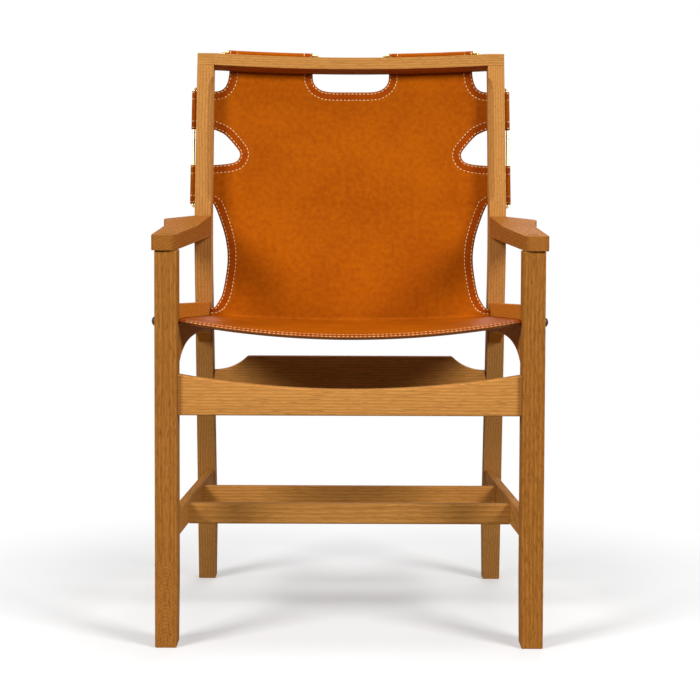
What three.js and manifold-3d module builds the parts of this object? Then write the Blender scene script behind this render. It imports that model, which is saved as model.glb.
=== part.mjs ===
// High-back oak armchair with one leather hide as seat and back, stretched between rods.
// Millimetres, +Z up, the chair faces -Y. Lengths along Y are setbacks from the front legs' front face.
import * as THREE from 'three';
import { mergeVertices } from 'three/addons/utils/BufferGeometryUtils.js';
import Module from 'manifold-3d';

const wasm = await Module();
wasm.setup();

// Fits
const clearance = 0.3;
const overrun = 6;

// Whole frame
const frontSpan = 588;
const rearSpan = 523;
const armHeight = 603.5;

// Front legs
const frontLegWidth = 34;
const frontLegDepth = 44;
const frontTenonWidth = 15;
const frontTenonDepth = 24;
const frontTenonProud = 1.2;
const frontFootTaper = 1.2;
const footTaperHeight = 100;
const footChamfer = 1.5;

// Rear legs: two straight runs that meet in a soft bend, given by their front and rear faces
const rearLegWidth = 28;
const rearFootTaper = 3;
const rearFootSpread = 4.5;
const footSetback = 488;
const footDepth = 33;
const bendHeight = 609;
const bendSetback = 331;
const bendDepth = 49;
const bendReach = 90;
const stileHeight = 901.5;
const stileTopSetback = 406;
const stileTopDepth = 32.6;
const chamferWidth = 9;
const chamferBottom = 665;
const chamferDrop = 20.5;
const chamferRunOut = 26;

// Crest rail, square to the stiles
const crestThickness = 21.2;
const crestDepth = 33;
const crestBow = 23;
const crestTenonWidth = 12;
const crestTenonDepth = 20;
const crestTenonProud = 1.2;

// Arms
const armSideOverhang = 4.8;
const armFrontOverhang = 4;
const armInnerOverhang = -1.5;
const armFrontThickness = 22.9;
const armMiddleThickness = 25.5;
const armRearThickness = 35;
const armRearRise = 8;
const armWaistSetback = 204;
const armFlare = 9;
const armFlareSetback = 292;
const armCornerRadius = 8;
const armInnerCornerRadius = 14;
const armTenonThickness = 12;
const armTenonHeight = 20;
const armTenonLength = 20;

// Seat rails: deep at both ends, arched below, with a long slot for the hide
const railThickness = 21;
const railToArm = 83.5;
const railFall = 20;
const railDepth = 89;
const railArch = 29;
const railTenonThickness = 10;
const railTenonMargin = 14;
const railFrontTenon = 32;
const railRearTenon = 20;
const slotDrop = 23.5;
const slotHeight = 3.4;
const slotFrontMargin = 8;
const slotRearMargin = 16;

// Front apron and rear rail
const apronSetback = 8;
const apronThickness = 20;
const apronDrop = 77.5;
const apronEndHeight = 62;
const apronHollow = 22.5;
const rearRailThickness = 20;
const rearRailInset = 4;
const rearRailDrop = 100.5;
const rearRailEndHeight = 50;
const rearRailRise = 24;
const rearRailFlatHalf = 175;
const crossTenonThickness = 9;
const crossTenonMargin = 8;
const crossTenonLength = 18;

// Low stretchers
const stretcherBottom = 164;
const sideStretcherHeight = 39;
const sideStretcherThickness = 14;
const crossStretcherHeight = 32.5;
const crossStretcherThickness = 15;
const frontCrossSetback = 137;
const rearCrossSetback = 299;
const stretcherTenonThickness = 8;
const stretcherTenonMargin = 6;
const stretcherTenonLength = 20;
const lowTenonLength = 8;

// Hide
const hideThickness = 2;
const hideTurn = 1.8;
const crestHideGap = 0.8;
const seatFrontSetback = 22;
const seatFrontSag = 24;
const seatRearSag = 7;
const creaseSetback = 352;
const creaseReach = 9;
const hideHalfWidth = 235.5;
const backJoinDrop = 9;
const hemReturn = 9;
const linkShare = 0.25;
const facingWidth = 17;

// Cut-outs of the hide, seen from the front
const lowerFlapShares = [0.1949, 0.4171];
const upperFlapShares = [0.6256, 0.8479];
const topFlapInner = 66;
const topFlapOuter = 209;
const topCutWidth = 36;
const topCutRise = 29;
const cornerCutWidth = 24.5;
const cornerCutRise = 37;
const flapStep = 0.6;
const sideCutReach = 189;
const lensReach = 208;
const lensRise = 7.5;

// Rods and bolts
const rodRadius = 2.15;
const rodBend = 5;
const rodSink = 6.5;
const rodEndMargin = 5;
const sideRodSetback = 17;
const topRodInset = 24;
const boltSetback = 21;
const boltDrop = 24.5;
const boltHeadRadius = 7.2;
const boltHeadHeight = 5.8;
const boltShankRadius = 3;
const boltTipMargin = 4;

// Sizes that follow
const frontOuter = frontSpan / 2;
const frontInner = frontOuter - frontLegWidth;
const rearOuter = rearSpan / 2;
const rearInner = rearOuter - rearLegWidth;
const lean = Math.atan((stileTopSetback - bendSetback) / (stileHeight - bendHeight));
const frameMiddle = (footSetback + footDepth - armFrontOverhang) / 2;
const hideOffset = clearance + hideThickness / 2;
const rodStandoff = hideThickness + 2 * clearance + rodRadius;
const loopRadius = rodRadius + clearance + hideThickness / 2;

const mix = (from, to, share) => from + (to - from) * share;

const railFrontTop = armHeight - railToArm;
const railRearTop = railFrontTop - railFall;
const railFoot = railFrontTop - railDepth;
const railCrown = railFoot + railArch;
const apronBottom = railFoot - apronDrop;
const rearRailBottom = railFoot - rearRailDrop;
const boltHeight = railFrontTop - boltDrop;
const chamferTop = stileHeight - chamferDrop;
const upTheStile = (share) => mix(bendHeight, stileHeight, share);
const [lowerFlapBottom, lowerFlapTop] = lowerFlapShares.map(upTheStile);
const [upperFlapBottom, upperFlapTop] = upperFlapShares.map(upTheStile);
const backJoinHeight = lowerFlapBottom - backJoinDrop;

// The setback of a rear leg's face at a height: straight, a quadratic bend, straight
function legFace(foot, bend, top, height) {
  const low = bend + (foot - bend) * (bendReach / bendHeight);
  const high = bend + (top - bend) * (bendReach / (stileHeight - bendHeight));
  if (height <= bendHeight - bendReach) return mix(foot, bend, height / bendHeight);
  if (height >= bendHeight + bendReach) {
    return mix(bend, top, (height - bendHeight) / (stileHeight - bendHeight));
  }
  const along = (height - bendHeight + bendReach) / (2 * bendReach);
  return mix(mix(low, bend, along), mix(bend, high, along), along);
}
const legFront = (height) => legFace(footSetback, bendSetback, stileTopSetback, height);
const legRear = (height) => legFace(
  footSetback + footDepth, bendSetback + bendDepth, stileTopSetback + stileTopDepth, height);

const toSolid = (geometry) => {
  const bare = geometry.clone();
  bare.deleteAttribute('normal');
  bare.deleteAttribute('uv');
  const merged = mergeVertices(bare);
  return new wasm.Manifold(new wasm.Mesh({
    numProp: 3,
    vertProperties: new Float32Array(merged.attributes.position.array),
    triVerts: new Uint32Array(merged.index.array),
  }));
};

const toGeometry = (solid) => {
  const mesh = solid.getMesh();
  const geometry = new THREE.BufferGeometry();
  geometry.setAttribute('position', new THREE.BufferAttribute(new Float32Array(mesh.vertProperties), 3));
  geometry.setIndex(new THREE.BufferAttribute(new Uint32Array(mesh.triVerts), 1));
  geometry.computeVertexNormals();
  return geometry;
};

const mirrored = (geometry) => {
  const other = geometry.clone();
  const index = other.index.array;
  other.scale(-1, 1, 1);
  for (let corner = 0; corner < index.length; corner += 3) {
    [index[corner + 1], index[corner + 2]] = [index[corner + 2], index[corner + 1]];
  }
  other.computeVertexNormals();
  return other;
};

const outline = (points) => new THREE.Shape(points.map(([across, up]) => new THREE.Vector2(across, up)));

const extruded = (shape, depth, curveSegments) => new THREE.ExtrudeGeometry(
  shape, { depth, bevelEnabled: false, curveSegments });

// A side view, setback and height, sawn through from one X to another
function sawnAcross(shape, from, to, curveSegments = 10) {
  const geometry = extruded(shape, to - from, curveSegments);
  geometry.applyMatrix4(new THREE.Matrix4().set(0, 0, 1, from, 1, 0, 0, 0, 0, 1, 0, 0, 0, 0, 0, 1));
  return toSolid(geometry);
}

// A front view, X and height, sawn through from one setback to another
function sawnDeep(shape, from, to, curveSegments = 10) {
  const geometry = extruded(shape, to - from, curveSegments);
  geometry.rotateX(Math.PI / 2);
  geometry.translate(0, to, 0);
  return toSolid(geometry);
}

// A plan, X and setback, sawn through from one height to another
function sawnTall(shape, from, to, curveSegments = 10) {
  const geometry = extruded(shape, to - from, curveSegments);
  geometry.translate(0, 0, from);
  return toSolid(geometry);
}

function block(left, right, front, rear, bottom, top) {
  const geometry = new THREE.BoxGeometry(right - left, rear - front, top - bottom);
  geometry.translate((left + right) / 2, (front + rear) / 2, (bottom + top) / 2);
  return geometry;
}

// Moves each corner sideways by its setback, for rails that run closer together to the rear
function splayed(geometry, sideAt) {
  const place = geometry.attributes.position;
  for (let at = 0; at < place.count; at += 1) place.setX(at, place.getX(at) + sideAt(place.getY(at)));
  return geometry;
}

// Lengthwise members between the front and rear legs, as lines in plan
const linePlan = (front, rear) => (setback) => mix(
  front, rear, (setback - frontLegDepth) / (bendSetback + bendDepth / 2 - frontLegDepth));
const railInner = linePlan(frontInner, rearInner + (rearLegWidth - railThickness) / 2);
const stretcherInner = linePlan(frontInner, rearInner + (rearLegWidth - sideStretcherThickness) / 2);

const railTop = (setback) => mix(
  railFrontTop, railRearTop, (setback - frontLegDepth) / (creaseSetback - frontLegDepth));
const slotLine = (setback) => railTop(setback) - slotDrop;

// Tenons, each also the cutter of its own mortise when grown by the clearance
function railTenons(grow) {
  const side = (railThickness - railTenonThickness) / 2;
  const front = [frontLegDepth - railFrontTenon - grow, frontLegDepth + overrun];
  const rearFace = legFront((railFoot + railRearTop) / 2);
  const rear = [creaseSetback - overrun, rearFace + railRearTenon + grow];
  const bottom = railFoot + railTenonMargin - grow;
  return [
    [front, bottom, railFrontTop - railTenonMargin + grow],
    [rear, bottom, railRearTop - railTenonMargin + grow],
  ].map(([[near, far], low, high]) => toSolid(splayed(
    block(side - grow, side + railTenonThickness + grow, near, far, low, high), railInner)));
}

function stretcherTenons(grow) {
  const side = (sideStretcherThickness - stretcherTenonThickness) / 2;
  const low = stretcherBottom + stretcherTenonMargin - grow;
  const high = stretcherBottom + sideStretcherHeight - stretcherTenonMargin + grow;
  const rearFace = legFront(stretcherBottom + sideStretcherHeight);
  return [
    [frontLegDepth - stretcherTenonLength - grow, frontLegDepth + overrun],
    [rearFace - overrun, rearFace + stretcherTenonLength + grow],
  ].map(([near, far]) => toSolid(splayed(
    block(side - grow, side + stretcherTenonThickness + grow, near, far, low, high), stretcherInner)));
}

function apronTenon(grow) {
  const front = apronSetback + (apronThickness - crossTenonThickness) / 2;
  return toSolid(block(
    frontInner - overrun, frontInner + crossTenonLength + grow,
    front - grow, front + crossTenonThickness + grow,
    apronBottom + crossTenonMargin - grow, apronBottom + apronEndHeight - crossTenonMargin + grow));
}

const rearRailFront = legFront(rearRailBottom + rearRailEndHeight) + rearRailInset;

function rearRailTenon(grow) {
  const front = rearRailFront + (rearRailThickness - crossTenonThickness) / 2;
  return toSolid(block(
    rearInner - overrun, rearInner + crossTenonLength + grow,
    front - grow, front + crossTenonThickness + grow,
    rearRailBottom + crossTenonMargin - grow, rearRailBottom + rearRailEndHeight - crossTenonMargin + grow));
}

function armTenon(grow) {
  const middle = (rearInner + rearOuter) / 2;
  const bottom = armHeight + armRearRise + (armRearThickness - armTenonHeight) / 2;
  const face = legFront(bottom);
  return toSolid(block(
    middle - armTenonThickness / 2 - grow, middle + armTenonThickness / 2 + grow,
    face - overrun, face + armTenonLength + grow,
    bottom - grow, bottom + armTenonHeight + grow));
}

function legTopTenon(grow) {
  const middle = (frontInner + frontOuter) / 2;
  return toSolid(block(
    middle - frontTenonWidth / 2 - grow, middle + frontTenonWidth / 2 + grow,
    (frontLegDepth - frontTenonDepth) / 2 - grow, (frontLegDepth + frontTenonDepth) / 2 + grow,
    armHeight - overrun, armHeight + armFrontThickness + frontTenonProud + grow));
}

// The crest's own frame: X, backwards square to the stile, and up along the stile
const crestFrame = new THREE.Matrix4().makeRotationX(-lean).setPosition(0, stileTopSetback, stileHeight);
const inCrestFrame = (across, back, up) => new THREE.Vector3(across, back, up).applyMatrix4(crestFrame);
const crestBend = (across) => crestBow * Math.max(0, 1 - (across / rearInner) ** 2);

// Where the stile's rear face meets the crest's underside
function stileTopBack() {
  const slope = (stileTopSetback + stileTopDepth - bendSetback - bendDepth) / (stileHeight - bendHeight);
  const fall = Math.tan(lean);
  const height = stileHeight - (stileTopDepth * fall) / (1 + slope * fall);
  return { setback: legRear(height), height };
}

function crestTenon(grow) {
  const middle = (rearInner + rearOuter) / 2;
  const back = (stileTopDepth - crestTenonDepth) / 2;
  const geometry = block(
    middle - crestTenonWidth / 2 - grow, middle + crestTenonWidth / 2 + grow,
    back - grow, back + crestTenonDepth + grow,
    -overrun, crestThickness + crestTenonProud + grow);
  return toSolid(geometry.applyMatrix4(crestFrame));
}

// A round bar along stations that are joined by straight steps
class Stations extends THREE.Curve {
  constructor(points) {
    super();
    this.points = points;
  }

  getUtoTmapping(share) {
    return share;
  }

  getPoint(share, target = new THREE.Vector3()) {
    const along = Math.min(Math.max(share, 0), 1) * (this.points.length - 1);
    const step = Math.min(Math.floor(along), this.points.length - 2);
    return target.lerpVectors(this.points[step], this.points[step + 1], along - step);
  }
}

function bar(points, radius, sides = 8) {
  const section = outline(Array.from({ length: sides }, (_, side) => {
    const turn = (2 * Math.PI * side) / sides;
    return [radius * Math.cos(turn), radius * Math.sin(turn)];
  }));
  return new THREE.ExtrudeGeometry(section, {
    steps: points.length - 1, extrudePath: new Stations(points), bevelEnabled: false });
}

// A rounded corner of a staple from one leg of it to the other
function corner(from, at, to, steps = 3) {
  const start = at.clone().add(from.clone().sub(at).setLength(rodBend));
  const end = at.clone().add(to.clone().sub(at).setLength(rodBend));
  return new THREE.QuadraticBezierCurve3(start, at, end).getPoints(steps);
}

function staple(near, nearCorner, between, farCorner, far) {
  const first = between.length ? between[0] : farCorner;
  const last = between.length ? between[between.length - 1] : nearCorner;
  return [near, ...corner(near, nearCorner, first), ...between, ...corner(last, farCorner, far), far];
}

const sideRodBottom = lowerFlapBottom - rodEndMargin;
const sideRodTop = upperFlapTop + rodEndMargin;
const sideRodLine = (height) => mix(
  bendSetback, stileTopSetback, (height - bendHeight) / (stileHeight - bendHeight)) + sideRodSetback;

function sideRodStations(deeper) {
  const place = (out, height) => new THREE.Vector3(rearOuter + out, sideRodLine(height), height);
  return staple(
    place(-rodSink - deeper, sideRodBottom), place(rodStandoff, sideRodBottom), [],
    place(rodStandoff, sideRodTop), place(-rodSink - deeper, sideRodTop));
}

const topFlapColumns = [0, 0.33, 0.67, 1].map((share) => mix(
  topFlapInner + flapStep, topFlapOuter - flapStep, share));
const crestHideBack = crestDepth + crestHideGap - clearance;
const topRodLine = (across) => crestBend(across) + crestHideBack - topRodInset;
const topRodInner = topFlapInner - rodEndMargin - rodBend;
const topRodOuter = topFlapOuter + rodEndMargin + rodBend;

function topRodStations(deeper) {
  const place = (across, up) => inCrestFrame(across, topRodLine(across), crestThickness + up);
  const between = topFlapColumns.map((across) => place(across, rodStandoff));
  return staple(
    place(topRodInner, -rodSink - deeper), place(topRodInner, rodStandoff), between,
    place(topRodOuter, rodStandoff), place(topRodOuter, -rodSink - deeper));
}

function boltSolid(grow) {
  const tip = frontInner + boltTipMargin - grow;
  const profile = [
    [0, tip], [boltShankRadius + grow, tip], [boltShankRadius + grow, frontOuter + clearance],
    [boltHeadRadius, frontOuter + clearance],
  ];
  for (let step = 1; step <= 5; step += 1) {
    const turn = (Math.PI / 2) * (step / 5);
    profile.push([
      step === 5 ? 0 : boltHeadRadius * Math.cos(turn),
      frontOuter + clearance + boltHeadHeight * Math.sin(turn),
    ]);
  }
  const geometry = new THREE.LatheGeometry(profile.map(([out, along]) => new THREE.Vector2(out, along)), 20);
  geometry.rotateZ(-Math.PI / 2);
  geometry.translate(0, boltSetback, boltHeight);
  return toSolid(geometry);
}

function frontLeg() {
  const body = sawnDeep(outline([
    [frontInner + frontFootTaper + footChamfer, 0], [frontOuter - footChamfer, 0], [frontOuter, footChamfer],
    [frontOuter, armHeight - clearance], [frontInner, armHeight - clearance], [frontInner, footTaperHeight],
    [frontInner + frontFootTaper, footChamfer],
  ]), 0, frontLegDepth);
  return body
    .add(legTopTenon(0))
    .subtract(railTenons(clearance)[0])
    .subtract(stretcherTenons(clearance)[0])
    .subtract(apronTenon(clearance))
    .subtract(boltSolid(clearance));
}

// A closed skin over sections that have the same number of corners
function loft(sections) {
  const sides = sections[0].length;
  const places = sections.flat().flatMap((point) => point.toArray());
  const faces = [];
  for (let at = 0; at + 1 < sections.length; at += 1) {
    for (let side = 0; side < sides; side += 1) {
      const next = (side + 1) % sides;
      const [low, high] = [at * sides, (at + 1) * sides];
      faces.push(low + side, low + next, high + next, low + side, high + next, high + side);
    }
  }
  const last = (sections.length - 1) * sides;
  for (let side = 1; side + 1 < sides; side += 1) {
    faces.push(0, side + 1, side, last, last + side, last + side + 1);
  }
  const geometry = new THREE.BufferGeometry();
  geometry.setAttribute('position', new THREE.Float32BufferAttribute(places, 3));
  geometry.setIndex(faces);
  return toSolid(geometry);
}

// The stopped chamfer of a stile's inner front edge, which runs out in a curve at both ends
function stileChamfer() {
  const runOutSteps = 4;
  const stations = [];
  for (let step = 0; step <= runOutSteps; step += 1) {
    const turn = (Math.PI / 2) * (step / runOutSteps);
    const run = chamferRunOut * (1 - Math.cos(turn));
    stations.push([chamferBottom + run, chamferWidth * Math.sin(turn)]);
  }
  const above = stations.map(([height, width]) => [chamferTop + chamferBottom - height, width]).reverse();
  return loft([...stations, ...above].map(([height, width]) => {
    const face = legFront(height);
    return [
      new THREE.Vector3(rearInner - overrun, face - overrun, height),
      new THREE.Vector3(rearInner + width + overrun, face - overrun, height),
      new THREE.Vector3(rearInner - overrun, face + width + overrun, height),
    ];
  }));
}

function rearLeg() {
  const side = new THREE.Shape();
  const low = bendHeight - bendReach;
  const high = bendHeight + bendReach;
  const topBack = stileTopBack();
  side.moveTo(legFront(0), 0);
  side.lineTo(legRear(0), 0);
  side.lineTo(legRear(low), low);
  side.quadraticCurveTo(bendSetback + bendDepth, bendHeight, legRear(high), high);
  side.lineTo(topBack.setback, topBack.height);
  side.lineTo(stileTopSetback, stileHeight);
  side.lineTo(legFront(high), high);
  side.quadraticCurveTo(bendSetback, bendHeight, legFront(low), low);
  const foot = rearOuter + rearFootSpread;
  const front = outline([
    [rearInner + rearFootTaper + footChamfer, 0], [foot - footChamfer, 0], [foot, footChamfer],
    [rearOuter, low], [rearOuter, stileHeight + overrun], [rearInner, stileHeight + overrun],
    [rearInner, footTaperHeight], [rearInner + rearFootTaper, footChamfer],
  ]);
  const reach = footSetback + footDepth + overrun;
  return sawnAcross(side, rearInner - overrun, foot + overrun)
    .intersect(sawnDeep(front, -overrun, reach))
    .subtract(stileChamfer())
    .add(crestTenon(0))
    .subtract(railTenons(clearance)[1])
    .subtract(stretcherTenons(clearance)[1])
    .subtract(rearRailTenon(clearance))
    .subtract(armTenon(clearance))
    .subtract(toSolid(bar(sideRodStations(clearance), rodRadius + clearance)));
}

function crestRail() {
  const steps = 16;
  const bend = Array.from({ length: steps + 1 }, (_, at) => {
    const across = mix(-rearInner, rearInner, at / steps);
    return [across, crestBend(across)];
  });
  const plan = outline([
    [-rearOuter, 0], ...bend, [rearOuter, 0], [rearOuter, crestDepth],
    ...bend.map(([across, back]) => [across, back + crestDepth]).reverse(), [-rearOuter, crestDepth],
  ]);
  const geometry = extruded(plan, crestThickness - clearance);
  geometry.translate(0, 0, clearance);
  geometry.applyMatrix4(crestFrame);
  const tenon = crestTenon(clearance);
  const rod = toSolid(bar(topRodStations(clearance), rodRadius + clearance));
  const otherSide = (solid) => toSolid(mirrored(toGeometry(solid)));
  return toSolid(geometry)
    .subtract(tenon)
    .subtract(otherSide(tenon))
    .subtract(rod)
    .subtract(otherSide(rod));
}

function arm() {
  const front = -armFrontOverhang;
  const inner = frontInner - armInnerOverhang;
  const outer = frontOuter + armSideOverhang;
  const end = [0, 0.25, 0.5, 0.75, 1].map((share) => {
    const height = armHeight + armRearRise + armRearThickness * share;
    return [legFront(height) - clearance, height];
  });
  const rear = Math.max(...end.map(([setback]) => setback)) + clearance;
  const plan = new THREE.Shape();
  plan.moveTo(inner + armInnerCornerRadius, front);
  plan.lineTo(outer - armCornerRadius, front);
  plan.quadraticCurveTo(outer, front, outer, front + armCornerRadius);
  plan.lineTo(outer, armWaistSetback);
  plan.quadraticCurveTo(
    outer + armFlare / 8, (armWaistSetback + armFlareSetback) / 2, outer + armFlare, armFlareSetback);
  plan.quadraticCurveTo(
    outer + armFlare, armFlareSetback + armCornerRadius,
    outer + armFlare - armCornerRadius, armFlareSetback + armCornerRadius * 2);
  plan.lineTo(rearOuter, rear);
  plan.lineTo(rearInner + 2 * clearance, rear);
  plan.lineTo(inner, front + armInnerCornerRadius);
  plan.quadraticCurveTo(inner, front, inner + armInnerCornerRadius, front);
  const side = outline([
    [front - overrun, armHeight], ...end,
    [armWaistSetback, armHeight + armMiddleThickness + armRearRise * (armWaistSetback / rear)],
    [front - overrun, armHeight + armFrontThickness],
  ]);
  return sawnTall(plan, armHeight - overrun, armHeight + armRearRise + armRearThickness + overrun, 6)
    .intersect(sawnAcross(side, Math.min(inner, rearInner) - overrun, outer + armFlare + overrun))
    .add(armTenon(0))
    .subtract(legTopTenon(clearance));
}

function seatRail() {
  const front = frontLegDepth + clearance;
  const rearAt = (height) => legFront(height) - clearance;
  const rearTop = railTop(rearAt(railRearTop));
  const rear = rearAt(railFoot);
  const middle = (front + rear) / 2;
  const spring = mix(railFoot, railCrown, 0.85);
  const side = new THREE.Shape();
  side.moveTo(front, railFoot);
  side.bezierCurveTo(
    mix(front, middle, 0.2), spring, mix(front, middle, 0.55), railCrown, middle, railCrown);
  side.bezierCurveTo(
    mix(middle, rear, 0.45), railCrown, mix(middle, rear, 0.8), spring, rear, railFoot);
  side.lineTo(rearAt(rearTop), rearTop);
  side.lineTo(front, railTop(front));
  const slotFront = frontLegDepth + slotFrontMargin;
  const slotRear = creaseSetback - slotRearMargin + slotFrontMargin;
  const half = slotHeight / 2;
  side.holes.push(new THREE.Path([
    new THREE.Vector2(slotFront, slotLine(slotFront) - half),
    new THREE.Vector2(slotFront, slotLine(slotFront) + half),
    new THREE.Vector2(slotRear, slotLine(slotRear) + half),
    new THREE.Vector2(slotRear, slotLine(slotRear) - half),
  ]));
  const geometry = extruded(side, railThickness, 8);
  geometry.applyMatrix4(new THREE.Matrix4().set(0, 0, 1, 0, 1, 0, 0, 0, 0, 1, 0, 0, 0, 0, 0, 1));
  const [frontTenon, rearTenon] = railTenons(0);
  return toSolid(splayed(geometry, railInner))
    .add(frontTenon)
    .add(rearTenon)
    .subtract(boltSolid(clearance));
}

function frontApron() {
  const half = frontInner - clearance;
  const top = apronBottom + apronEndHeight;
  const shape = new THREE.Shape();
  shape.moveTo(-half, apronBottom);
  shape.lineTo(half, apronBottom);
  shape.lineTo(half, top);
  shape.quadraticCurveTo(0, top - 2 * apronHollow, -half, top);
  const tenon = apronTenon(0);
  return sawnDeep(shape, apronSetback, apronSetback + apronThickness, 20)
    .add(tenon)
    .add(toSolid(mirrored(toGeometry(tenon))));
}

function rearRail() {
  const half = rearInner - clearance;
  const shoulder = rearRailBottom + rearRailEndHeight;
  const top = shoulder + rearRailRise;
  const shape = new THREE.Shape();
  shape.moveTo(-half, rearRailBottom);
  shape.lineTo(half, rearRailBottom);
  shape.lineTo(half, shoulder);
  shape.quadraticCurveTo(mix(half, rearRailFlatHalf, 0.6), shoulder, rearRailFlatHalf, top);
  shape.lineTo(-rearRailFlatHalf, top);
  shape.quadraticCurveTo(-mix(half, rearRailFlatHalf, 0.6), shoulder, -half, shoulder);
  const tenon = rearRailTenon(0);
  return sawnDeep(shape, rearRailFront, rearRailFront + rearRailThickness, 8)
    .add(tenon)
    .add(toSolid(mirrored(toGeometry(tenon))));
}

const crossTenon = (setback, grow) => {
  const low = stretcherBottom + stretcherTenonMargin - grow;
  const high = stretcherBottom + crossStretcherHeight - stretcherTenonMargin + grow;
  const front = setback + (crossStretcherThickness - stretcherTenonThickness) / 2;
  const face = stretcherInner(setback + crossStretcherThickness);
  return toSolid(block(
    face - overrun, face + lowTenonLength + grow,
    front - grow, front + stretcherTenonThickness + grow, low, high));
};

function sideStretcher() {
  const top = stretcherBottom + sideStretcherHeight;
  const side = outline([
    [frontLegDepth + clearance, stretcherBottom], [legFront(stretcherBottom) - clearance, stretcherBottom],
    [legFront(top) - clearance, top], [frontLegDepth + clearance, top],
  ]);
  const geometry = extruded(side, sideStretcherThickness);
  geometry.applyMatrix4(new THREE.Matrix4().set(0, 0, 1, 0, 1, 0, 0, 0, 0, 1, 0, 0, 0, 0, 0, 1));
  const [frontTenon, rearTenon] = stretcherTenons(0);
  return toSolid(splayed(geometry, stretcherInner))
    .add(frontTenon)
    .add(rearTenon)
    .subtract(crossTenon(frontCrossSetback, clearance))
    .subtract(crossTenon(rearCrossSetback, clearance));
}

function crossStretcher(setback) {
  const rear = setback + crossStretcherThickness;
  const nearEnd = stretcherInner(setback) - clearance;
  const farEnd = stretcherInner(rear) - clearance;
  const plan = outline([[-nearEnd, setback], [nearEnd, setback], [farEnd, rear], [-farEnd, rear]]);
  const tenon = crossTenon(setback, 0);
  return sawnTall(plan, stretcherBottom, stretcherBottom + crossStretcherHeight)
    .add(tenon)
    .add(toSolid(mirrored(toGeometry(tenon))));
}

// The line of a hem from the corner it turns, up a ramp, round the rod and back under itself.
// Each point is how far it stands out from the face that carries the rod, and how far it is from the turn.
function hemLine(rodReach) {
  const turnSteps = 3;
  const loopSteps = 8;
  const points = [];
  const turnBack = hideTurn - hideOffset;
  for (let step = 0; step <= turnSteps; step += 1) {
    const turn = (Math.PI / 2) * (step / turnSteps);
    points.push([hideTurn * Math.sin(turn) - turnBack, turnBack - hideTurn * Math.cos(turn)]);
  }
  const rise = rodStandoff - hideOffset;
  const run = rodReach - turnBack;
  const ramp = Math.atan2(rise, run) + Math.asin(loopRadius / Math.hypot(rise, run));
  for (let step = 0; step <= loopSteps; step += 1) {
    const turn = mix(Math.PI / 2 + ramp, -Math.PI / 2, step / loopSteps);
    points.push([rodStandoff + loopRadius * Math.sin(turn), rodReach + loopRadius * Math.cos(turn)]);
  }
  points.push([rodStandoff - loopRadius, rodReach - hemReturn]);
  return points;
}

// The line of a seat hem out of the rail's slot and three quarters round its rod
function seatHemLine() {
  const loopSteps = 9;
  return Array.from({ length: loopSteps + 1 }, (_, step) => {
    const turn = 1.5 * Math.PI * (step / loopSteps);
    return [rodStandoff + loopRadius * Math.sin(turn), loopRadius * (Math.cos(turn) - 1)];
  });
}

const seatHalf = (setback) => Math.min(railInner(setback), frontInner) - clearance;
const seatSag = (setback) => mix(
  seatFrontSag, seatRearSag, (setback - seatFrontSetback) / (creaseSetback - seatFrontSetback));
const seatHeight = (share, setback) => slotLine(setback) - seatSag(setback) * (1 - share ** 2);

// The back stands straight from the crease to the stiles' rear faces, then follows them, bowed like the crest
const creaseHeight = slotLine(creaseSetback);
const lensBottom = creaseHeight + lensRise;
const crestUnderside = inCrestFrame(0, crestDepth + hideOffset, 0);
function backSetback(across, height) {
  const joined = legRear(backJoinHeight) + hideOffset;
  const edge = height > backJoinHeight
    ? legRear(height) + hideOffset
    : mix(creaseSetback, joined, (height - creaseHeight) / (backJoinHeight - creaseHeight));
  const bowed = (height - creaseHeight) / (crestUnderside.z - creaseHeight);
  return edge + crestBend(across) * Math.max(0, bowed);
}

// Columns of the hide from its middle out, and its rows from the seat's front edge to the top hem
const columnShares = [0, ...topFlapColumns, hideHalfWidth].map((across) => across / hideHalfWidth);
const slotRows = [0, 0.25, 0.5, 0.75, 1].map((share) => mix(
  frontLegDepth + slotFrontMargin + clearance, creaseSetback - slotRearMargin + slotFrontMargin - clearance,
  share));
const seatRows = [seatFrontSetback, ...slotRows];
const creaseSteps = 3;
const backRows = [
  mix(creaseHeight, lowerFlapBottom, 0.25), mix(creaseHeight, lowerFlapBottom, 0.5),
  mix(creaseHeight, lowerFlapBottom, 0.75), lowerFlapBottom, lowerFlapTop - flapStep, lowerFlapTop + overrun,
  upperFlapBottom - overrun, upperFlapBottom + flapStep, upperFlapTop - flapStep,
  mix(upperFlapTop, crestUnderside.z, linkShare),
];
const crestRowShares = [-0.4, 0.4];

function hideRows() {
  const rows = seatRows.map((setback) => ({ kind: 'seat', setback }));
  for (let step = 0; step <= creaseSteps; step += 1) rows.push({ kind: 'crease', share: step / creaseSteps });
  rows.push(...backRows.map((height) => ({ kind: 'back', height })));
  rows.push(...crestRowShares.map((share) => (
    { kind: 'crest', back: -hideOffset, up: share * crestThickness })));
  const hem = hemLine(topRodInset).map(([out, back]) => (
    { kind: 'hem', back, up: crestThickness + out }));
  return [...rows, ...hem];
}

const rows = hideRows();
const flapHeights = [[lowerFlapBottom, lowerFlapTop], [upperFlapBottom, upperFlapTop]];
const hemSteps = hemLine(topRodInset).length;
const middleColumns = columnShares.length - 1;
const lastColumn = middleColumns + hemSteps;

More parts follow.
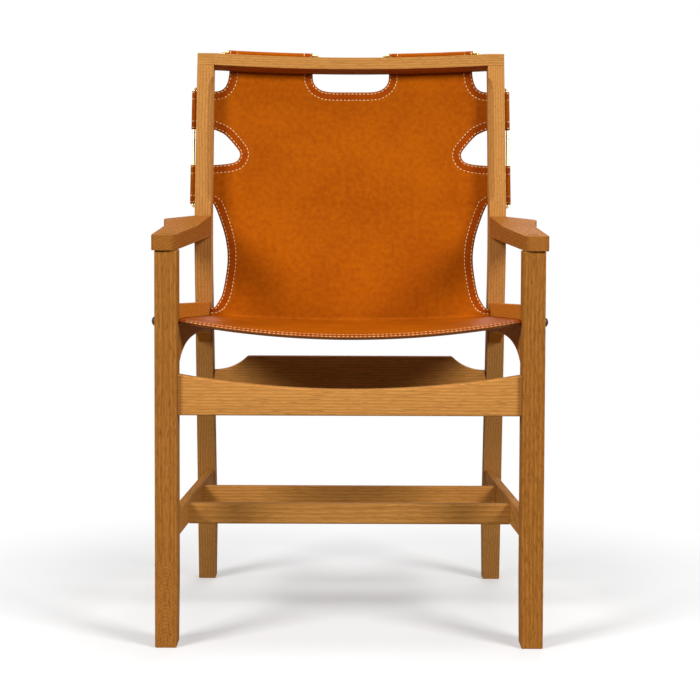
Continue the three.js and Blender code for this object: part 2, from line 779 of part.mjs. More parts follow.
// A point of the hide's middle surface on the right half, by column and row
function hidePoint(column, row) {
  const place = rows[row];
  const share = columnShares[Math.min(column, middleColumns)];
  const across = share * hideHalfWidth;
  const step = column - middleColumns - 1;
  if (place.kind === 'seat') {
    const height = seatHeight(share, place.setback);
    if (step < 0) return new THREE.Vector3(share * seatHalf(place.setback), place.setback, height);
    const line = seatHemLine();
    const [out, up] = line[Math.min(step, line.length - 1)];
    return new THREE.Vector3(
      railInner(place.setback) + railThickness + out, place.setback, slotLine(place.setback) + up);
  }
  if (place.kind === 'crease') {
    const before = creaseSetback - creaseReach;
    const above = creaseHeight + creaseReach - seatRearSag * (1 - share ** 2);
    const start = new THREE.Vector3(share * seatHalf(before), before, seatHeight(share, before));
    const bend = new THREE.Vector3(share * seatHalf(creaseSetback), creaseSetback, seatHeight(share, creaseSetback));
    const end = new THREE.Vector3(across, backSetback(across, above), above);
    return new THREE.QuadraticBezierCurve3(start, bend, end).getPoint(place.share);
  }
  if (place.kind === 'back') {
    const behind = backSetback(across, place.height);
    if (step < 0) return new THREE.Vector3(across, behind, place.height);
    const line = hemLine(legRear(place.height) - sideRodLine(place.height));
    const [out, back] = line[step];
    return new THREE.Vector3(rearOuter + out, legRear(place.height) - back, place.height);
  }
  return inCrestFrame(across, crestBend(across) + crestHideBack - place.back, place.up);
}

const cellInFlap = (row) => rows[row].kind === 'back' && rows[row + 1].kind === 'back'
  && flapHeights.some(([bottom, top]) => rows[row].height >= bottom && rows[row + 1].height <= top);
const cellInSlot = (column, row) => rows[row].kind === 'seat' && rows[row + 1]?.kind === 'seat'
  && rows[row].setback > seatFrontSetback && column < middleColumns + seatHemLine().length;

function hideCell(column, row) {
  if (column >= middleColumns) return cellInFlap(row) || cellInSlot(column, row);
  if (rows[row + 1].kind !== 'hem') return true;
  return column >= 1 && column < middleColumns - 1;
}

// A sheet of even thickness from the middle points of a grid, closed round every border of its cells
function sheet(columns, rowCount, pointAt, hasCell, thickness) {
  const places = [];
  for (let row = 0; row <= rowCount; row += 1) {
    for (let column = 0; column <= columns; column += 1) {
      const at = pointAt(column, row);
      const alongColumns = pointAt(Math.min(column + 1, columns), row).sub(pointAt(Math.max(column - 1, 0), row));
      const alongRows = pointAt(column, Math.min(row + 1, rowCount)).sub(pointAt(column, Math.max(row - 1, 0)));
      const normal = alongColumns.cross(alongRows).setLength(thickness / 2);
      places.push(...at.clone().add(normal).toArray(), ...at.clone().sub(normal).toArray());
    }
  }
  const upper = (column, row) => 2 * (row * (columns + 1) + column);
  const lower = (column, row) => upper(column, row) + 1;
  const has = (column, row) => column >= 0 && row >= 0 && column < columns && row < rowCount
    && hasCell(column, row);
  const faces = [];
  const wall = (from, to) => {
    const [a, b, c, d] = [upper(...from), lower(...from), lower(...to), upper(...to)];
    faces.push(a, b, c, a, c, d);
  };
  for (let row = 0; row < rowCount; row += 1) {
    for (let column = 0; column < columns; column += 1) {
      if (!has(column, row)) continue;
      const corners = [[column, row], [column + 1, row], [column + 1, row + 1], [column, row + 1]];
      const [a, b, c, d] = corners.map((at) => upper(...at));
      const [e, f, g, h] = corners.map((at) => lower(...at));
      faces.push(a, b, c, a, c, d, e, g, f, e, h, g);
      const beyond = [[column, row - 1], [column + 1, row], [column, row + 1], [column - 1, row]];
      beyond.forEach((other, side) => {
        if (!has(...other)) wall(corners[side], corners[(side + 1) % corners.length]);
      });
    }
  }
  const geometry = new THREE.BufferGeometry();
  geometry.setAttribute('position', new THREE.Float32BufferAttribute(places, 3));
  geometry.setIndex(faces);
  return mergeVertices(geometry.toNonIndexed());
}

// The full width of the hide from its right half
function mirroredGrid(pointAt) {
  return (column, row) => {
    const point = pointAt(Math.abs(column - lastColumn), row);
    if (column < lastColumn) point.x = -point.x;
    return point;
  };
}
const halfCell = (column) => (column >= lastColumn ? column - lastColumn : lastColumn - 1 - column);

// Cut-outs, as front views of the right half
function lensShape() {
  const shape = new THREE.Shape();
  const outside = hideHalfWidth + overrun;
  shape.moveTo(outside, lowerFlapBottom - flapStep);
  shape.lineTo(rearInner, lowerFlapBottom - flapStep);
  shape.splineThru([
    new THREE.Vector2(mix(lensReach, rearInner, 0.62), mix(lensBottom, lowerFlapBottom, 0.88)),
    new THREE.Vector2(mix(lensReach, rearInner, 0.15), mix(lensBottom, lowerFlapBottom, 0.67)),
    new THREE.Vector2(lensReach, mix(lensBottom, lowerFlapBottom, 0.46)),
    new THREE.Vector2(mix(lensReach, rearInner, 0.25), mix(lensBottom, lowerFlapBottom, 0.2)),
    new THREE.Vector2(mix(lensReach, rearInner, 0.52), mix(lensBottom, lowerFlapBottom, 0.1)),
    new THREE.Vector2(rearInner, lensBottom),
  ]);
  shape.lineTo(outside, lensBottom);
  return shape;
}

function sideCutShape() {
  const shape = new THREE.Shape();
  const outside = hideHalfWidth + overrun;
  const reach = (share) => mix(sideCutReach, rearInner, share);
  const rise = (share) => mix(lowerFlapTop, upperFlapBottom, share);
  shape.moveTo(outside, upperFlapBottom);
  shape.lineTo(rearInner, upperFlapBottom);
  shape.splineThru([
    new THREE.Vector2(reach(0.75), rise(0.9)), new THREE.Vector2(reach(0.36), rise(0.61)),
    new THREE.Vector2(reach(0.05), rise(0.35)), new THREE.Vector2(reach(0), rise(0.23)),
    new THREE.Vector2(reach(0.05), rise(0.1)), new THREE.Vector2(reach(0.2), rise(0.02)),
    new THREE.Vector2(reach(0.35), rise(0)),
  ]);
  shape.lineTo(outside, lowerFlapTop);
  return shape;
}

function cornerCutShape() {
  const shape = new THREE.Shape();
  const [outside, above] = [hideHalfWidth + overrun, stileHeight + 2 * crestThickness];
  shape.moveTo(outside, upperFlapTop);
  shape.lineTo(outside, above);
  shape.lineTo(topFlapOuter, above);
  shape.lineTo(topFlapOuter, upperFlapTop + cornerCutRise);
  shape.quadraticCurveTo(topFlapOuter, upperFlapTop, topFlapOuter + cornerCutWidth, upperFlapTop);
  return shape;
}

function topCutShape() {
  const shape = new THREE.Shape();
  const above = stileHeight + 2 * crestThickness;
  shape.moveTo(-topFlapInner, above);
  shape.lineTo(-topFlapInner, upperFlapTop + topCutRise);
  shape.quadraticCurveTo(-topFlapInner, upperFlapTop, -topFlapInner + topCutWidth, upperFlapTop);
  shape.lineTo(topFlapInner - topCutWidth, upperFlapTop);
  shape.quadraticCurveTo(topFlapInner, upperFlapTop, topFlapInner, upperFlapTop + topCutRise);
  shape.lineTo(topFlapInner, above);
  return shape;
}

function leatherSling() {
  const rowCount = rows.length - 1;
  const geometry = sheet(
    2 * lastColumn, rowCount, mirroredGrid(hidePoint),
    (column, row) => hideCell(halfCell(column), row), hideThickness);
  const front = creaseSetback - overrun;
  const rear = footSetback + footDepth;
  let solid = toSolid(geometry).subtract(sawnDeep(topCutShape(), front, rear, 6));
  for (const shape of [lensShape(), sideCutShape(), cornerCutShape()]) {
    const cutter = sawnDeep(shape, front, rear, 3);
    solid = solid.subtract(cutter).subtract(toSolid(mirrored(toGeometry(cutter))));
  }
  return solid;
}

// The second layer of leather that is sewn under the seat's front edge
function frontFacing() {
  const columns = 2 * middleColumns;
  const pointAt = (column, row) => {
    const share = columnShares[Math.abs(column - middleColumns)] * Math.sign(column - middleColumns);
    const setback = seatFrontSetback + row * facingWidth;
    return new THREE.Vector3(
      share * seatHalf(setback), setback, seatHeight(share, setback) - hideThickness - clearance);
  };
  return toSolid(sheet(columns, 1, pointAt, () => true, hideThickness));
}

function seatRod() {
  const [front, rear] = [slotRows[0], slotRows[slotRows.length - 1]];
  return bar([front, rear].map((setback) => new THREE.Vector3(
    railInner(setback) + railThickness + rodStandoff, setback, slotLine(setback) - loopRadius)), rodRadius);
}

// Materials
const oak = new THREE.MeshStandardMaterial({ color: 0xb98648, roughness: 0.55, metalness: 0 });
const leather = new THREE.MeshStandardMaterial({ color: 0xb5560f, roughness: 0.42, metalness: 0 });
const brass = new THREE.MeshStandardMaterial({ color: 0xb08d4a, roughness: 0.3, metalness: 1 });
const bronze = new THREE.MeshStandardMaterial({ color: 0x3d2f28, roughness: 0.4, metalness: 1 });

const chair = new THREE.Group();
const frame = new THREE.Group();
frame.position.y = -frameMiddle;
chair.add(frame);

function addPiece(name, geometry, material) {
  const mesh = new THREE.Mesh(geometry, material);
  mesh.name = name;
  frame.add(mesh);
}

function addPair(name, geometry, material) {
  addPiece(`${name}_right`, geometry, material);
  addPiece(`${name}_left`, mirrored(geometry), material);
}

addPair('front_leg', toGeometry(frontLeg()), oak);
addPair('rear_leg', toGeometry(rearLeg()), oak);
addPiece('crest_rail', toGeometry(crestRail()), oak);
addPair('arm', toGeometry(arm()), oak);
addPair('seat_rail', toGeometry(seatRail()), oak);
addPiece('front_apron', toGeometry(frontApron()), oak);
addPiece('rear_rail', toGeometry(rearRail()), oak);
addPair('side_stretcher', toGeometry(sideStretcher()), oak);
addPiece('cross_stretcher_front', toGeometry(crossStretcher(frontCrossSetback)), oak);
addPiece('cross_stretcher_rear', toGeometry(crossStretcher(rearCrossSetback)), oak);
addPiece('leather_sling', toGeometry(leatherSling()), leather);
addPiece('facing_seat_front', toGeometry(frontFacing()), leather);
addPair('side_rod', toGeometry(toSolid(bar(sideRodStations(0), rodRadius))), brass);
addPair('top_rod', toGeometry(toSolid(bar(topRodStations(0), rodRadius))), brass);
addPair('seat_rod', toGeometry(toSolid(seatRod())), brass);
addPair('rail_bolt', toGeometry(boltSolid(0)), bronze);

export default chair;
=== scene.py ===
"""A high-back oak armchair whose seat and back are one leather hide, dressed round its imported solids."""

import math
from bisect import bisect_right

import bmesh
import bpy
import numpy as np
from bpy.props import FloatProperty, FloatVectorProperty, IntProperty, PointerProperty
from mathutils import Matrix, Vector
from mathutils.bvhtree import BVHTree


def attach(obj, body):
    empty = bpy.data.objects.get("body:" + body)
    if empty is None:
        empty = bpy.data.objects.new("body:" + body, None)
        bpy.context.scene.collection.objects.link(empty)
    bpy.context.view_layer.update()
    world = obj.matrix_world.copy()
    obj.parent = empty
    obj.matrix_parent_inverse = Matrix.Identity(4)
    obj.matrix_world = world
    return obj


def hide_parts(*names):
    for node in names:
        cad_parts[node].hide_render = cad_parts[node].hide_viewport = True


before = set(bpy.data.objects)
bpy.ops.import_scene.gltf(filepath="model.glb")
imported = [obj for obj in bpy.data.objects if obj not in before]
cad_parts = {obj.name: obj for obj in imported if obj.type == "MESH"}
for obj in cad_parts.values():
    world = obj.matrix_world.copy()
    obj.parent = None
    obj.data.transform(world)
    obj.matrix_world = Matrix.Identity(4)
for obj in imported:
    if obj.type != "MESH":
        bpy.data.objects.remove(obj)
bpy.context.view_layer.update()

bl_info = {
    "name": "High-back oak armchair",
    "version": (1, 0, 0),
    "blender": (4, 5, 0),
    "location": "View3D > Sidebar > Armchair",
    "description": "Builds an oak armchair with one leather hide as its seat and back",
    "category": "Object",
}

# The solids' own sizes in millimetres. Lengths along Y are setbacks from the front legs' front face.
MM = 0.001
FRAME_MIDDLE = 258.5
FRONT_LEG_DEPTH = 44.0
FRONT_INNER = 260.0
FRONT_OUTER = 294.0
REAR_OUTER = 261.5
REAR_INNER = 233.5
RAIL_THICKNESS = 21.0
BEND_HEIGHT = 609.0
BEND_REACH = 90.0
BEND_SETBACK = 331.0
BEND_DEPTH = 49.0
FOOT_REAR = 521.0
STILE_HEIGHT = 901.5
STILE_TOP_SETBACK = 406.0
STILE_TOP_DEPTH = 32.6
CREST_THICKNESS = 21.2
CREST_DEPTH = 33.0
CREST_BOW = 23.0
RAIL_FRONT_TOP = 520.0
RAIL_REAR_TOP = 500.0
SLOT_DROP = 23.5
SLOT_FRONT = 52.3
SLOT_REAR = 343.7

# The hide
HIDE_THICKNESS = 2.0
CLEARANCE = 0.3
HIDE_OFFSET = CLEARANCE + HIDE_THICKNESS / 2
HIDE_TURN = 1.8
CREST_HIDE_BACK = 33.5
SEAT_FRONT = 22.0
SEAT_FRONT_SAG = 24.0
SEAT_REAR_SAG = 7.0
FRONT_ROLL = 20.0
FRONT_ROLL_DROP = 3.4
CREASE_SETBACK = 352.0
CREASE_REACH = 9.0
BACK_HALF = 235.5
BACK_JOIN_HEIGHT = 657.0
HEM_RETURN = 9.0
FACING_WIDTH = 17.0
LOWER_FLAP = (666.0, 731.0)
UPPER_FLAP = (792.0, 857.0)
FLAPS = (LOWER_FLAP, UPPER_FLAP)
TOP_FLAP = (66.0, 209.0)
CORNER_CUT = (24.5, 37.0)
HAND_CUT = (36.0, 29.0)
SIDE_CUT_REACH = 189.0
LENS_REACH = 208.0
LENS_BOTTOM = 484.0
CELL = 4.8
# A corner of the flat grid that is this near to a cut-out's edge moves onto it
SNAP_REACH = 0.52 * CELL
# Where the hems' columns lie on rows without a hem, away from every cut-out
FAR_OFF = 1000.0

# Points of two cut-outs' edges: shares of the way out to the stile and of the way up
LENS_EDGE = ((1, 0), (0.52, 0.1), (0.25, 0.2), (0, 0.46), (0.15, 0.67), (0.62, 0.88), (1, 1))
SIDE_CUT_EDGE = (
    (1, 0), (0.5, 0.03), (0.175, 0.09), (0.04, 0.19), (0, 0.316), (0.06, 0.42), (0.224, 0.573),
    (0.40, 0.72), (0.623, 0.873), (1, 1))

# The stitching
SEAM_ROWS = (3.0, 14.0)
THREAD_HALF = 0.72
THREAD_RISE = 0.55

# Rods and bolts
ROD_RADIUS = 2.15
ROD_BEND = 5.0
ROD_SINK = 6.5
ROD_END_MARGIN = 5.0
ROD_STANDOFF = HIDE_THICKNESS + 2 * CLEARANCE + ROD_RADIUS
LOOP_RADIUS = ROD_RADIUS + CLEARANCE + HIDE_THICKNESS / 2
SIDE_ROD_SETBACK = 17.0
TOP_ROD_INSET = 24.0
BOLT_SETBACK = 21.0
BOLT_HEIGHT = 495.5

SIDES = (("right", 1), ("left", -1))
LEAN = math.atan((STILE_TOP_SETBACK - BEND_SETBACK) / (STILE_HEIGHT - BEND_HEIGHT))
CREST_FRAME = Matrix.Translation((0, STILE_TOP_SETBACK, STILE_HEIGHT)) @ Matrix.Rotation(-LEAN, 4, "X")

UPRIGHT, ALONG_X, ALONG_Y = (0, 0, 0), (0, -math.pi / 2, 0), (math.pi / 2, 0, 0)
OAK_PIECES = {
    "front_leg_right": UPRIGHT, "front_leg_left": UPRIGHT,
    "rear_leg_right": UPRIGHT, "rear_leg_left": UPRIGHT,
    "crest_rail": ALONG_X, "arm_right": ALONG_Y, "arm_left": ALONG_Y,
    "seat_rail_right": ALONG_Y, "seat_rail_left": ALONG_Y,
    "front_apron": ALONG_X, "rear_rail": ALONG_X,
    "side_stretcher_right": ALONG_Y, "side_stretcher_left": ALONG_Y,
    "cross_stretcher_front": ALONG_X, "cross_stretcher_rear": ALONG_X,
}
# A tint and how strong the flecks are, by how a piece's name starts. The tints are partly the boards' own
# tone
# and partly painted light: the seat rails' strong orange is painted bounce light from the leather, the front
# legs' darker tint is painted shade, and the arms, rear legs, crest and front cross stretcher are darkened
# to offset the lamps that light them strongly.
OAK_TINTS_AND_PAINTED_LIGHT = {
    "front_leg": ((0.70, 0.62, 0.46), 0.85), "arm": ((0.66, 0.55, 0.4), 0.5),
    "side_stretcher": ((0.85, 0.82, 0.75), 0.3), "crest_rail": ((0.84, 0.88, 0.95), 0.15),
    "rear_leg": ((0.86, 0.88, 0.95), 0.15), "seat_rail": ((1.0, 0.8, 0.35), 0.3),
    "cross_stretcher_front": ((0.82, 0.84, 0.82), 0.3),
}
PLAIN_OAK = ((1.0, 1.0, 1.0), 0.3)
LEFT_LEG_HEART = (0.277, 0.249, 0.1)

# The angles past which an edge is drawn sharp
OAK_SMOOTH, LEATHER_SMOOTH, METAL_SMOOTH, ALL_SMOOTH = map(math.radians, (14, 60, 50, 180))


def mix(start, end, share):
    return start + (end - start) * share


def spanned(value, low, high, start, end):
    """The number that lies between start and end as a value lies between low and high."""
    return mix(start, end, (value - low) / (high - low))


def placed(point):
    """A point of the sizes above, in metres in the frame."""
    return Vector((point[0] * MM, (point[1] - FRAME_MIDDLE) * MM, point[2] * MM))


def curve(start, bend, end, share):
    """A point of the curve from start to end that leans toward bend."""
    return start.lerp(bend, share).lerp(bend.lerp(end, share), share)


# Lines of the solids that the hide and the rods follow

def leg_rear(height):
    top = STILE_TOP_SETBACK + STILE_TOP_DEPTH
    bend = BEND_SETBACK + BEND_DEPTH
    if height <= BEND_HEIGHT - BEND_REACH:
        return mix(FOOT_REAR, bend, height / BEND_HEIGHT)
    if height >= BEND_HEIGHT + BEND_REACH:
        return spanned(height, BEND_HEIGHT, STILE_HEIGHT, bend, top)
    low = bend + (FOOT_REAR - bend) * BEND_REACH / BEND_HEIGHT
    high = bend + (top - bend) * BEND_REACH / (STILE_HEIGHT - BEND_HEIGHT)
    along = (height - BEND_HEIGHT + BEND_REACH) / (2 * BEND_REACH)
    return mix(mix(low, bend, along), mix(bend, high, along), along)


def in_crest_frame(across, back, up):
    return CREST_FRAME @ Vector((across, back, up))


def crest_bend(across):
    return CREST_BOW * max(0.0, 1 - (across / REAR_INNER) ** 2)


def rail_inner(setback):
    reach = BEND_SETBACK + BEND_DEPTH / 2 - FRONT_LEG_DEPTH
    rear = REAR_INNER + (REAR_OUTER - REAR_INNER - RAIL_THICKNESS) / 2
    return mix(FRONT_INNER, rear, (setback - FRONT_LEG_DEPTH) / reach)


def slot_line(setback):
    return spanned(setback, FRONT_LEG_DEPTH, CREASE_SETBACK, RAIL_FRONT_TOP, RAIL_REAR_TOP) - SLOT_DROP


def seat_half(setback):
    return min(rail_inner(setback), FRONT_INNER) - CLEARANCE


def seat_height(share, setback):
    sag = spanned(setback, SEAT_FRONT, CREASE_SETBACK, SEAT_FRONT_SAG, SEAT_REAR_SAG)
    roll = FRONT_ROLL_DROP * max(0.0, 1 - (setback - SEAT_FRONT) / FRONT_ROLL) ** 2
    return slot_line(setback) - sag * (1 - share**2) - roll


CREASE_HEIGHT = slot_line(CREASE_SETBACK)
CREST_UNDERSIDE = in_crest_frame(0, CREST_DEPTH + HIDE_OFFSET, 0).z


def back_setback(across, height):
    if height > BACK_JOIN_HEIGHT:
        edge = leg_rear(height) + HIDE_OFFSET
    else:
        joined = leg_rear(BACK_JOIN_HEIGHT) + HIDE_OFFSET
        edge = spanned(height, CREASE_HEIGHT, BACK_JOIN_HEIGHT, CREASE_SETBACK, joined)
    bowed = (height - CREASE_HEIGHT) / (CREST_UNDERSIDE - CREASE_HEIGHT)
    return edge + crest_bend(across) * max(0.0, bowed)


def side_rod_line(height):
    return spanned(height, BEND_HEIGHT, STILE_HEIGHT, BEND_SETBACK, STILE_TOP_SETBACK) + SIDE_ROD_SETBACK


class Line:
    """A line through points that is walked by its length."""

    def __init__(self, points):
        self.points = [Vector(point) for point in points]
        self.lengths = [0.0]
        for start, end in zip(self.points, self.points[1:]):
            self.lengths.append(self.lengths[-1] + (end - start).length)

    @property
    def length(self):
        return self.lengths[-1]

    def at(self, distance):
        step = min(max(bisect_right(self.lengths, distance) - 1, 0), len(self.points) - 2)
        span = self.lengths[step + 1] - self.lengths[step]
        return self.points[step].lerp(self.points[step + 1], (distance - self.lengths[step]) / span)


def hem_points(rod_reach, turn_steps=5, loop_steps=16):
    """A hem from its turn, up to its rod, round it and back: out of the face and away from the turn."""
    turn_back = HIDE_TURN - HIDE_OFFSET
    points = []
    for step in range(turn_steps + 1):
        turn = math.pi / 2 * step / turn_steps
        points.append((HIDE_TURN * math.sin(turn) - turn_back, turn_back - HIDE_TURN * math.cos(turn)))
    rise, run = ROD_STANDOFF - HIDE_OFFSET, rod_reach - turn_back
    ramp = math.atan2(rise, run) + math.asin(LOOP_RADIUS / math.hypot(rise, run))
    start = points[-1]
    for step in range(loop_steps + 1):
        turn = mix(math.pi / 2 + ramp, -math.pi / 2, step / loop_steps)
        loop = (ROD_STANDOFF + LOOP_RADIUS * math.sin(turn), rod_reach + LOOP_RADIUS * math.cos(turn))
        if step == 0:
            points += [
                (mix(start[0], loop[0], share), mix(start[1], loop[1], share)) for share in (0.33, 0.67)]
        points.append(loop)
    points.append((ROD_STANDOFF - LOOP_RADIUS, rod_reach - HEM_RETURN))
    return points


# The hide's rows, from the seat's front edge to the end of the top hem

def steps_between(marks):
    """Values between marks at even steps no longer than a cell, the marks among them."""
    values = [marks[0]]
    for start, end in zip(marks, marks[1:]):
        count = max(1, math.ceil(abs(end - start) / CELL - 1e-6))
        values += [mix(start, end, step / count) for step in range(1, count + 1)]
    return values


def hide_rows():
    crease_front, crease_steps = CREASE_SETBACK - CREASE_REACH, 8
    above_flaps = 8.5
    seat = steps_between([SEAT_FRONT, SLOT_FRONT, SLOT_REAR - CREASE_REACH + 8.0])
    rows = [("seat", value) for value in seat if value < crease_front - 1]
    rows += [("crease", step / crease_steps) for step in range(crease_steps + 1)]
    heights = steps_between([
        CREASE_HEIGHT + CREASE_REACH, *LOWER_FLAP, *UPPER_FLAP, UPPER_FLAP[1] + above_flaps])
    rows += [("back", height) for height in heights[1:]]
    rows += [("link", share) for share in (0.25, 0.5, 0.75)]
    rows += [("crest", share * CREST_THICKNESS) for share in (-0.4, -0.15, 0.1, 0.4)]
    rows += [("hem", point) for point in hem_points(TOP_ROD_INSET)]
    return rows


ROWS = hide_rows()
LAST_BACK = max(at for at, row in enumerate(ROWS) if row[0] == "back")
FIRST_CREST = min(at for at, row in enumerate(ROWS) if row[0] == "crest")


def row_half(row):
    kind, value = row
    if kind == "seat":
        return seat_half(value)
    if kind == "crease":
        return mix(seat_half(CREASE_SETBACK - CREASE_REACH), BACK_HALF, value)
    return BACK_HALF


def row_point(row, share):
    """A point of the hide's middle surface on a row, between its middle and its turn."""
    kind, value = row
    across = share * BACK_HALF
    if kind == "seat":
        return Vector((share * seat_half(value), value, seat_height(abs(share), value)))
    if kind == "crease":
        before = CREASE_SETBACK - CREASE_REACH
        above = CREASE_HEIGHT + CREASE_REACH - SEAT_REAR_SAG * (1 - share**2)
        start = Vector((share * seat_half(before), before, seat_height(abs(share), before)))
        bend = Vector((
            share * seat_half(CREASE_SETBACK), CREASE_SETBACK, seat_height(abs(share), CREASE_SETBACK)))
        end = Vector((across, back_setback(across, above), above))
        return curve(start, bend, end, value)
    if kind == "back":
        return Vector((across, back_setback(across, value), value))
    if kind == "link":
        return row_point(ROWS[LAST_BACK], share).lerp(row_point(ROWS[FIRST_CREST], share), value)
    back, up = (-HIDE_OFFSET, value) if kind == "crest" else (value[1], CREST_THICKNESS + value[0])
    return in_crest_frame(across, crest_bend(across) + CREST_HIDE_BACK - back, up)


HEM_LINES = {}


def hem_path(row):
    """The line that the hide takes past its turn on a row: out of X zero, back and up."""
    if row not in HEM_LINES:
        kind, value = row
        if kind == "seat":
            out = rail_inner(value) + RAIL_THICKNESS + ROD_STANDOFF
            loop_steps = 20
            loop = [1.5 * math.pi * step / loop_steps for step in range(loop_steps + 1)]
            points = [(seat_half(value), 0.0)] + [
                (out + LOOP_RADIUS * math.sin(turn), LOOP_RADIUS * (math.cos(turn) - 1)) for turn in loop]
            points = [(x, value, slot_line(value) + up) for x, up in points]
        else:
            rear = leg_rear(value)
            line = hem_points(rear - side_rod_line(value))
            points = [(BACK_HALF, rear + HIDE_OFFSET, value)] + [
                (REAR_OUTER + out, rear - back, value) for out, back in line]
        HEM_LINES[row] = Line(points)
    return HEM_LINES[row]


def row_steps(row):
    """How far past the turn each column of a hem lies on a row."""
    line = hem_path(row)
    straight, count = line.lengths[1], 12 if row[0] == "seat" else 6
    return [straight * step / count for step in range(count + 1)] + line.lengths[2:]


# A row of the seat and a row of the back that carry a hem, to measure the hems by
SEAT_SAMPLE, BACK_SAMPLE = ("seat", 100.0), ("back", 700.0)
HEM_COLUMNS = min(len(row_steps(row)) for row in (SEAT_SAMPLE, BACK_SAMPLE)) - 1
COLUMN_SHARES = [value / BACK_HALF for value in steps_between([0.0, *TOP_FLAP, BACK_HALF])]
MIDDLE_COLUMNS = len(COLUMN_SHARES) - 1


def carries_hem(row):
    kind, value = row
    if kind == "seat":
        return SLOT_FRONT <= value <= SLOT_REAR
    return kind == "back" and any(low <= value <= high for low, high in FLAPS)


def cell_in_hem(row, after):
    if not (carries_hem(row) and carries_hem(after)):
        return False
    return row[0] == "seat" or any(low <= row[1] and after[1] <= high for low, high in FLAPS)


ROW_PLACES = [0.0]
for before, after in zip(ROWS, ROWS[1:]):
    ROW_PLACES.append(ROW_PLACES[-1] + (row_point(after, 0.5) - row_point(before, 0.5)).length)
HIDE_LENGTH = ROW_PLACES[-1]
BACK_PLACES = [(row[1], place) for row, place in zip(ROWS, ROW_PLACES) if row[0] == "back"]


def along_at(height):
    """The length along the hide at a height of the back."""
    return float(np.interp(height, *zip(*BACK_PLACES)))


def hide_point(across, along):
    """The place of the hide's middle surface for a point of the flat hide."""
    step = min(max(bisect_right(ROW_PLACES, along) - 1, 0), len(ROWS) - 2)
    share = (along - ROW_PLACES[step]) / (ROW_PLACES[step + 1] - ROW_PLACES[step])
    near, far = ROWS[step], ROWS[step + 1]
    half = mix(row_half(near), row_half(far), share)
    side = -1 if across < 0 else 1
    if abs(across) <= half + 1e-6:
        place = row_point(near, abs(across) / half).lerp(row_point(far, abs(across) / half), share)
    else:
        beyond = abs(across) - half
        near = near if carries_hem(near) else far
        far = far if carries_hem(far) else near
        place = hem_path(near).at(beyond).lerp(hem_path(far).at(beyond), share)
    return Vector((side * place.x, place.y, place.z))


def hide_frame(across, along, toward=(1.0, 0.0)):
    """A place on the hide, a flat direction's direction there, and the normal on the sitter's side."""
    reach = 0.4
    here = hide_point(across, along)
    step = Vector(toward).normalized() * reach
    ahead = hide_point(across + step.x, min(along + step.y, HIDE_LENGTH))
    behind = hide_point(across - step.x, max(along - step.y, 0.0))
    wide = hide_point(across + reach, along) - hide_point(across - reach, along)
    deep = hide_point(across, min(along + reach, HIDE_LENGTH)) - hide_point(across, max(along - reach, 0.0))
    return here, (ahead - behind).normalized(), wide.cross(deep).normalized()


# The cut-outs' edges on the flat hide's right half, each with the leather on its left

def smooth_line(points, steps=8):
    """A smooth line through points."""
    points = [Vector(point) for point in points]
    ends = [points[0], *points, points[-1]]
    line = []
    for before, start, end, after in zip(ends, ends[1:], ends[2:], ends[3:]):
        for step in range(steps):
            t = step / steps
            line.append(0.5 * (2 * start + (end - before) * t
                               + (2 * before - 5 * start + 4 * end - after) * t**2
                               + (3 * start - before - 3 * end + after) * t**3))
    return [tuple(point) for point in line] + [tuple(points[-1])]


def rounded(start, corner, end, steps=8):
    start, corner, end = Vector(start), Vector(corner), Vector(end)
    return [tuple(curve(start, corner, end, step / steps)) for step in range(steps + 1)]


def between(shares, reach, low, high):
    """A smooth line on the flat hide, between a reach and the stile and between two heights."""
    line = smooth_line([(mix(reach, REAR_INNER, across), mix(low, high, up)) for across, up in shares])
    return [(across, along_at(height)) for across, height in line]


# Places past the hide's sides and past its top hem, on the flat
FLAT_FAR = 310.0
FLAT_ABOVE = HIDE_LENGTH + 50


def cut_edges():
    base = along_at(UPPER_FLAP[1])
    inner, outer = TOP_FLAP
    corner = rounded((outer + CORNER_CUT[0], base), (outer, base), (outer, base + CORNER_CUT[1]))
    hand = rounded((inner, base + HAND_CUT[1]), (inner, base), (inner - HAND_CUT[0], base))
    lens = between(LENS_EDGE, LENS_REACH, LENS_BOTTOM, LOWER_FLAP[0])
    side = between(SIDE_CUT_EDGE, SIDE_CUT_REACH, LOWER_FLAP[1], UPPER_FLAP[0])
    return {
        "lens": [(BACK_HALF, along_at(LENS_BOTTOM)), *lens, (FLAT_FAR, along_at(LOWER_FLAP[0]))],
        "side": [(FLAT_FAR, along_at(LOWER_FLAP[1])), *side, (FLAT_FAR, along_at(UPPER_FLAP[0]))],
        "corner": [(FLAT_FAR, base), *corner, (outer, FLAT_ABOVE)],
        "hand": [(inner, FLAT_ABOVE), *hand, (0.0, base)],
    }


def void_shapes(edges):
    """The cut-outs as closed shapes on the flat hide's right half."""
    past_middle = -10.0
    return [
        [*edges["lens"], (FLAT_FAR, edges["lens"][0][1])],
        edges["side"],
        [*edges["corner"], (FLAT_FAR, FLAT_ABOVE)],
        [*edges["hand"], (past_middle, edges["hand"][-1][1]), (past_middle, FLAT_ABOVE)],
    ]


def nearest_on(points, line):
    """For each flat point its nearest place on a line, and how far it is."""
    best = np.full(len(points), np.inf)
    place = np.zeros_like(points)
    for start, end in zip(np.array(line[:-1]), np.array(line[1:])):
        step = end - start
        span = float(step @ step)
        if span < 1e-12:
            continue
        share = np.clip((points - start) @ step / span, 0, 1)
        foot = start + share[:, None] * step
        distance = np.linalg.norm(points - foot, axis=1)
        closer = distance < best
        best[closer], place[closer] = distance[closer], foot[closer]
    return place, best


def inside_shape(points, shape):
    inside = np.zeros(len(points), bool)
    x, y = points[:, 0], points[:, 1]
    for (x0, y0), (x1, y1) in zip(shape, shape[1:] + shape[:1]):
        crosses = (y0 > y) != (y1 > y)
        with np.errstate(divide="ignore", invalid="ignore"):
            at = x0 + (y - y0) * (x1 - x0) / (y1 - y0)
        inside ^= crosses & (x < at)
    return inside


# Meshes and objects

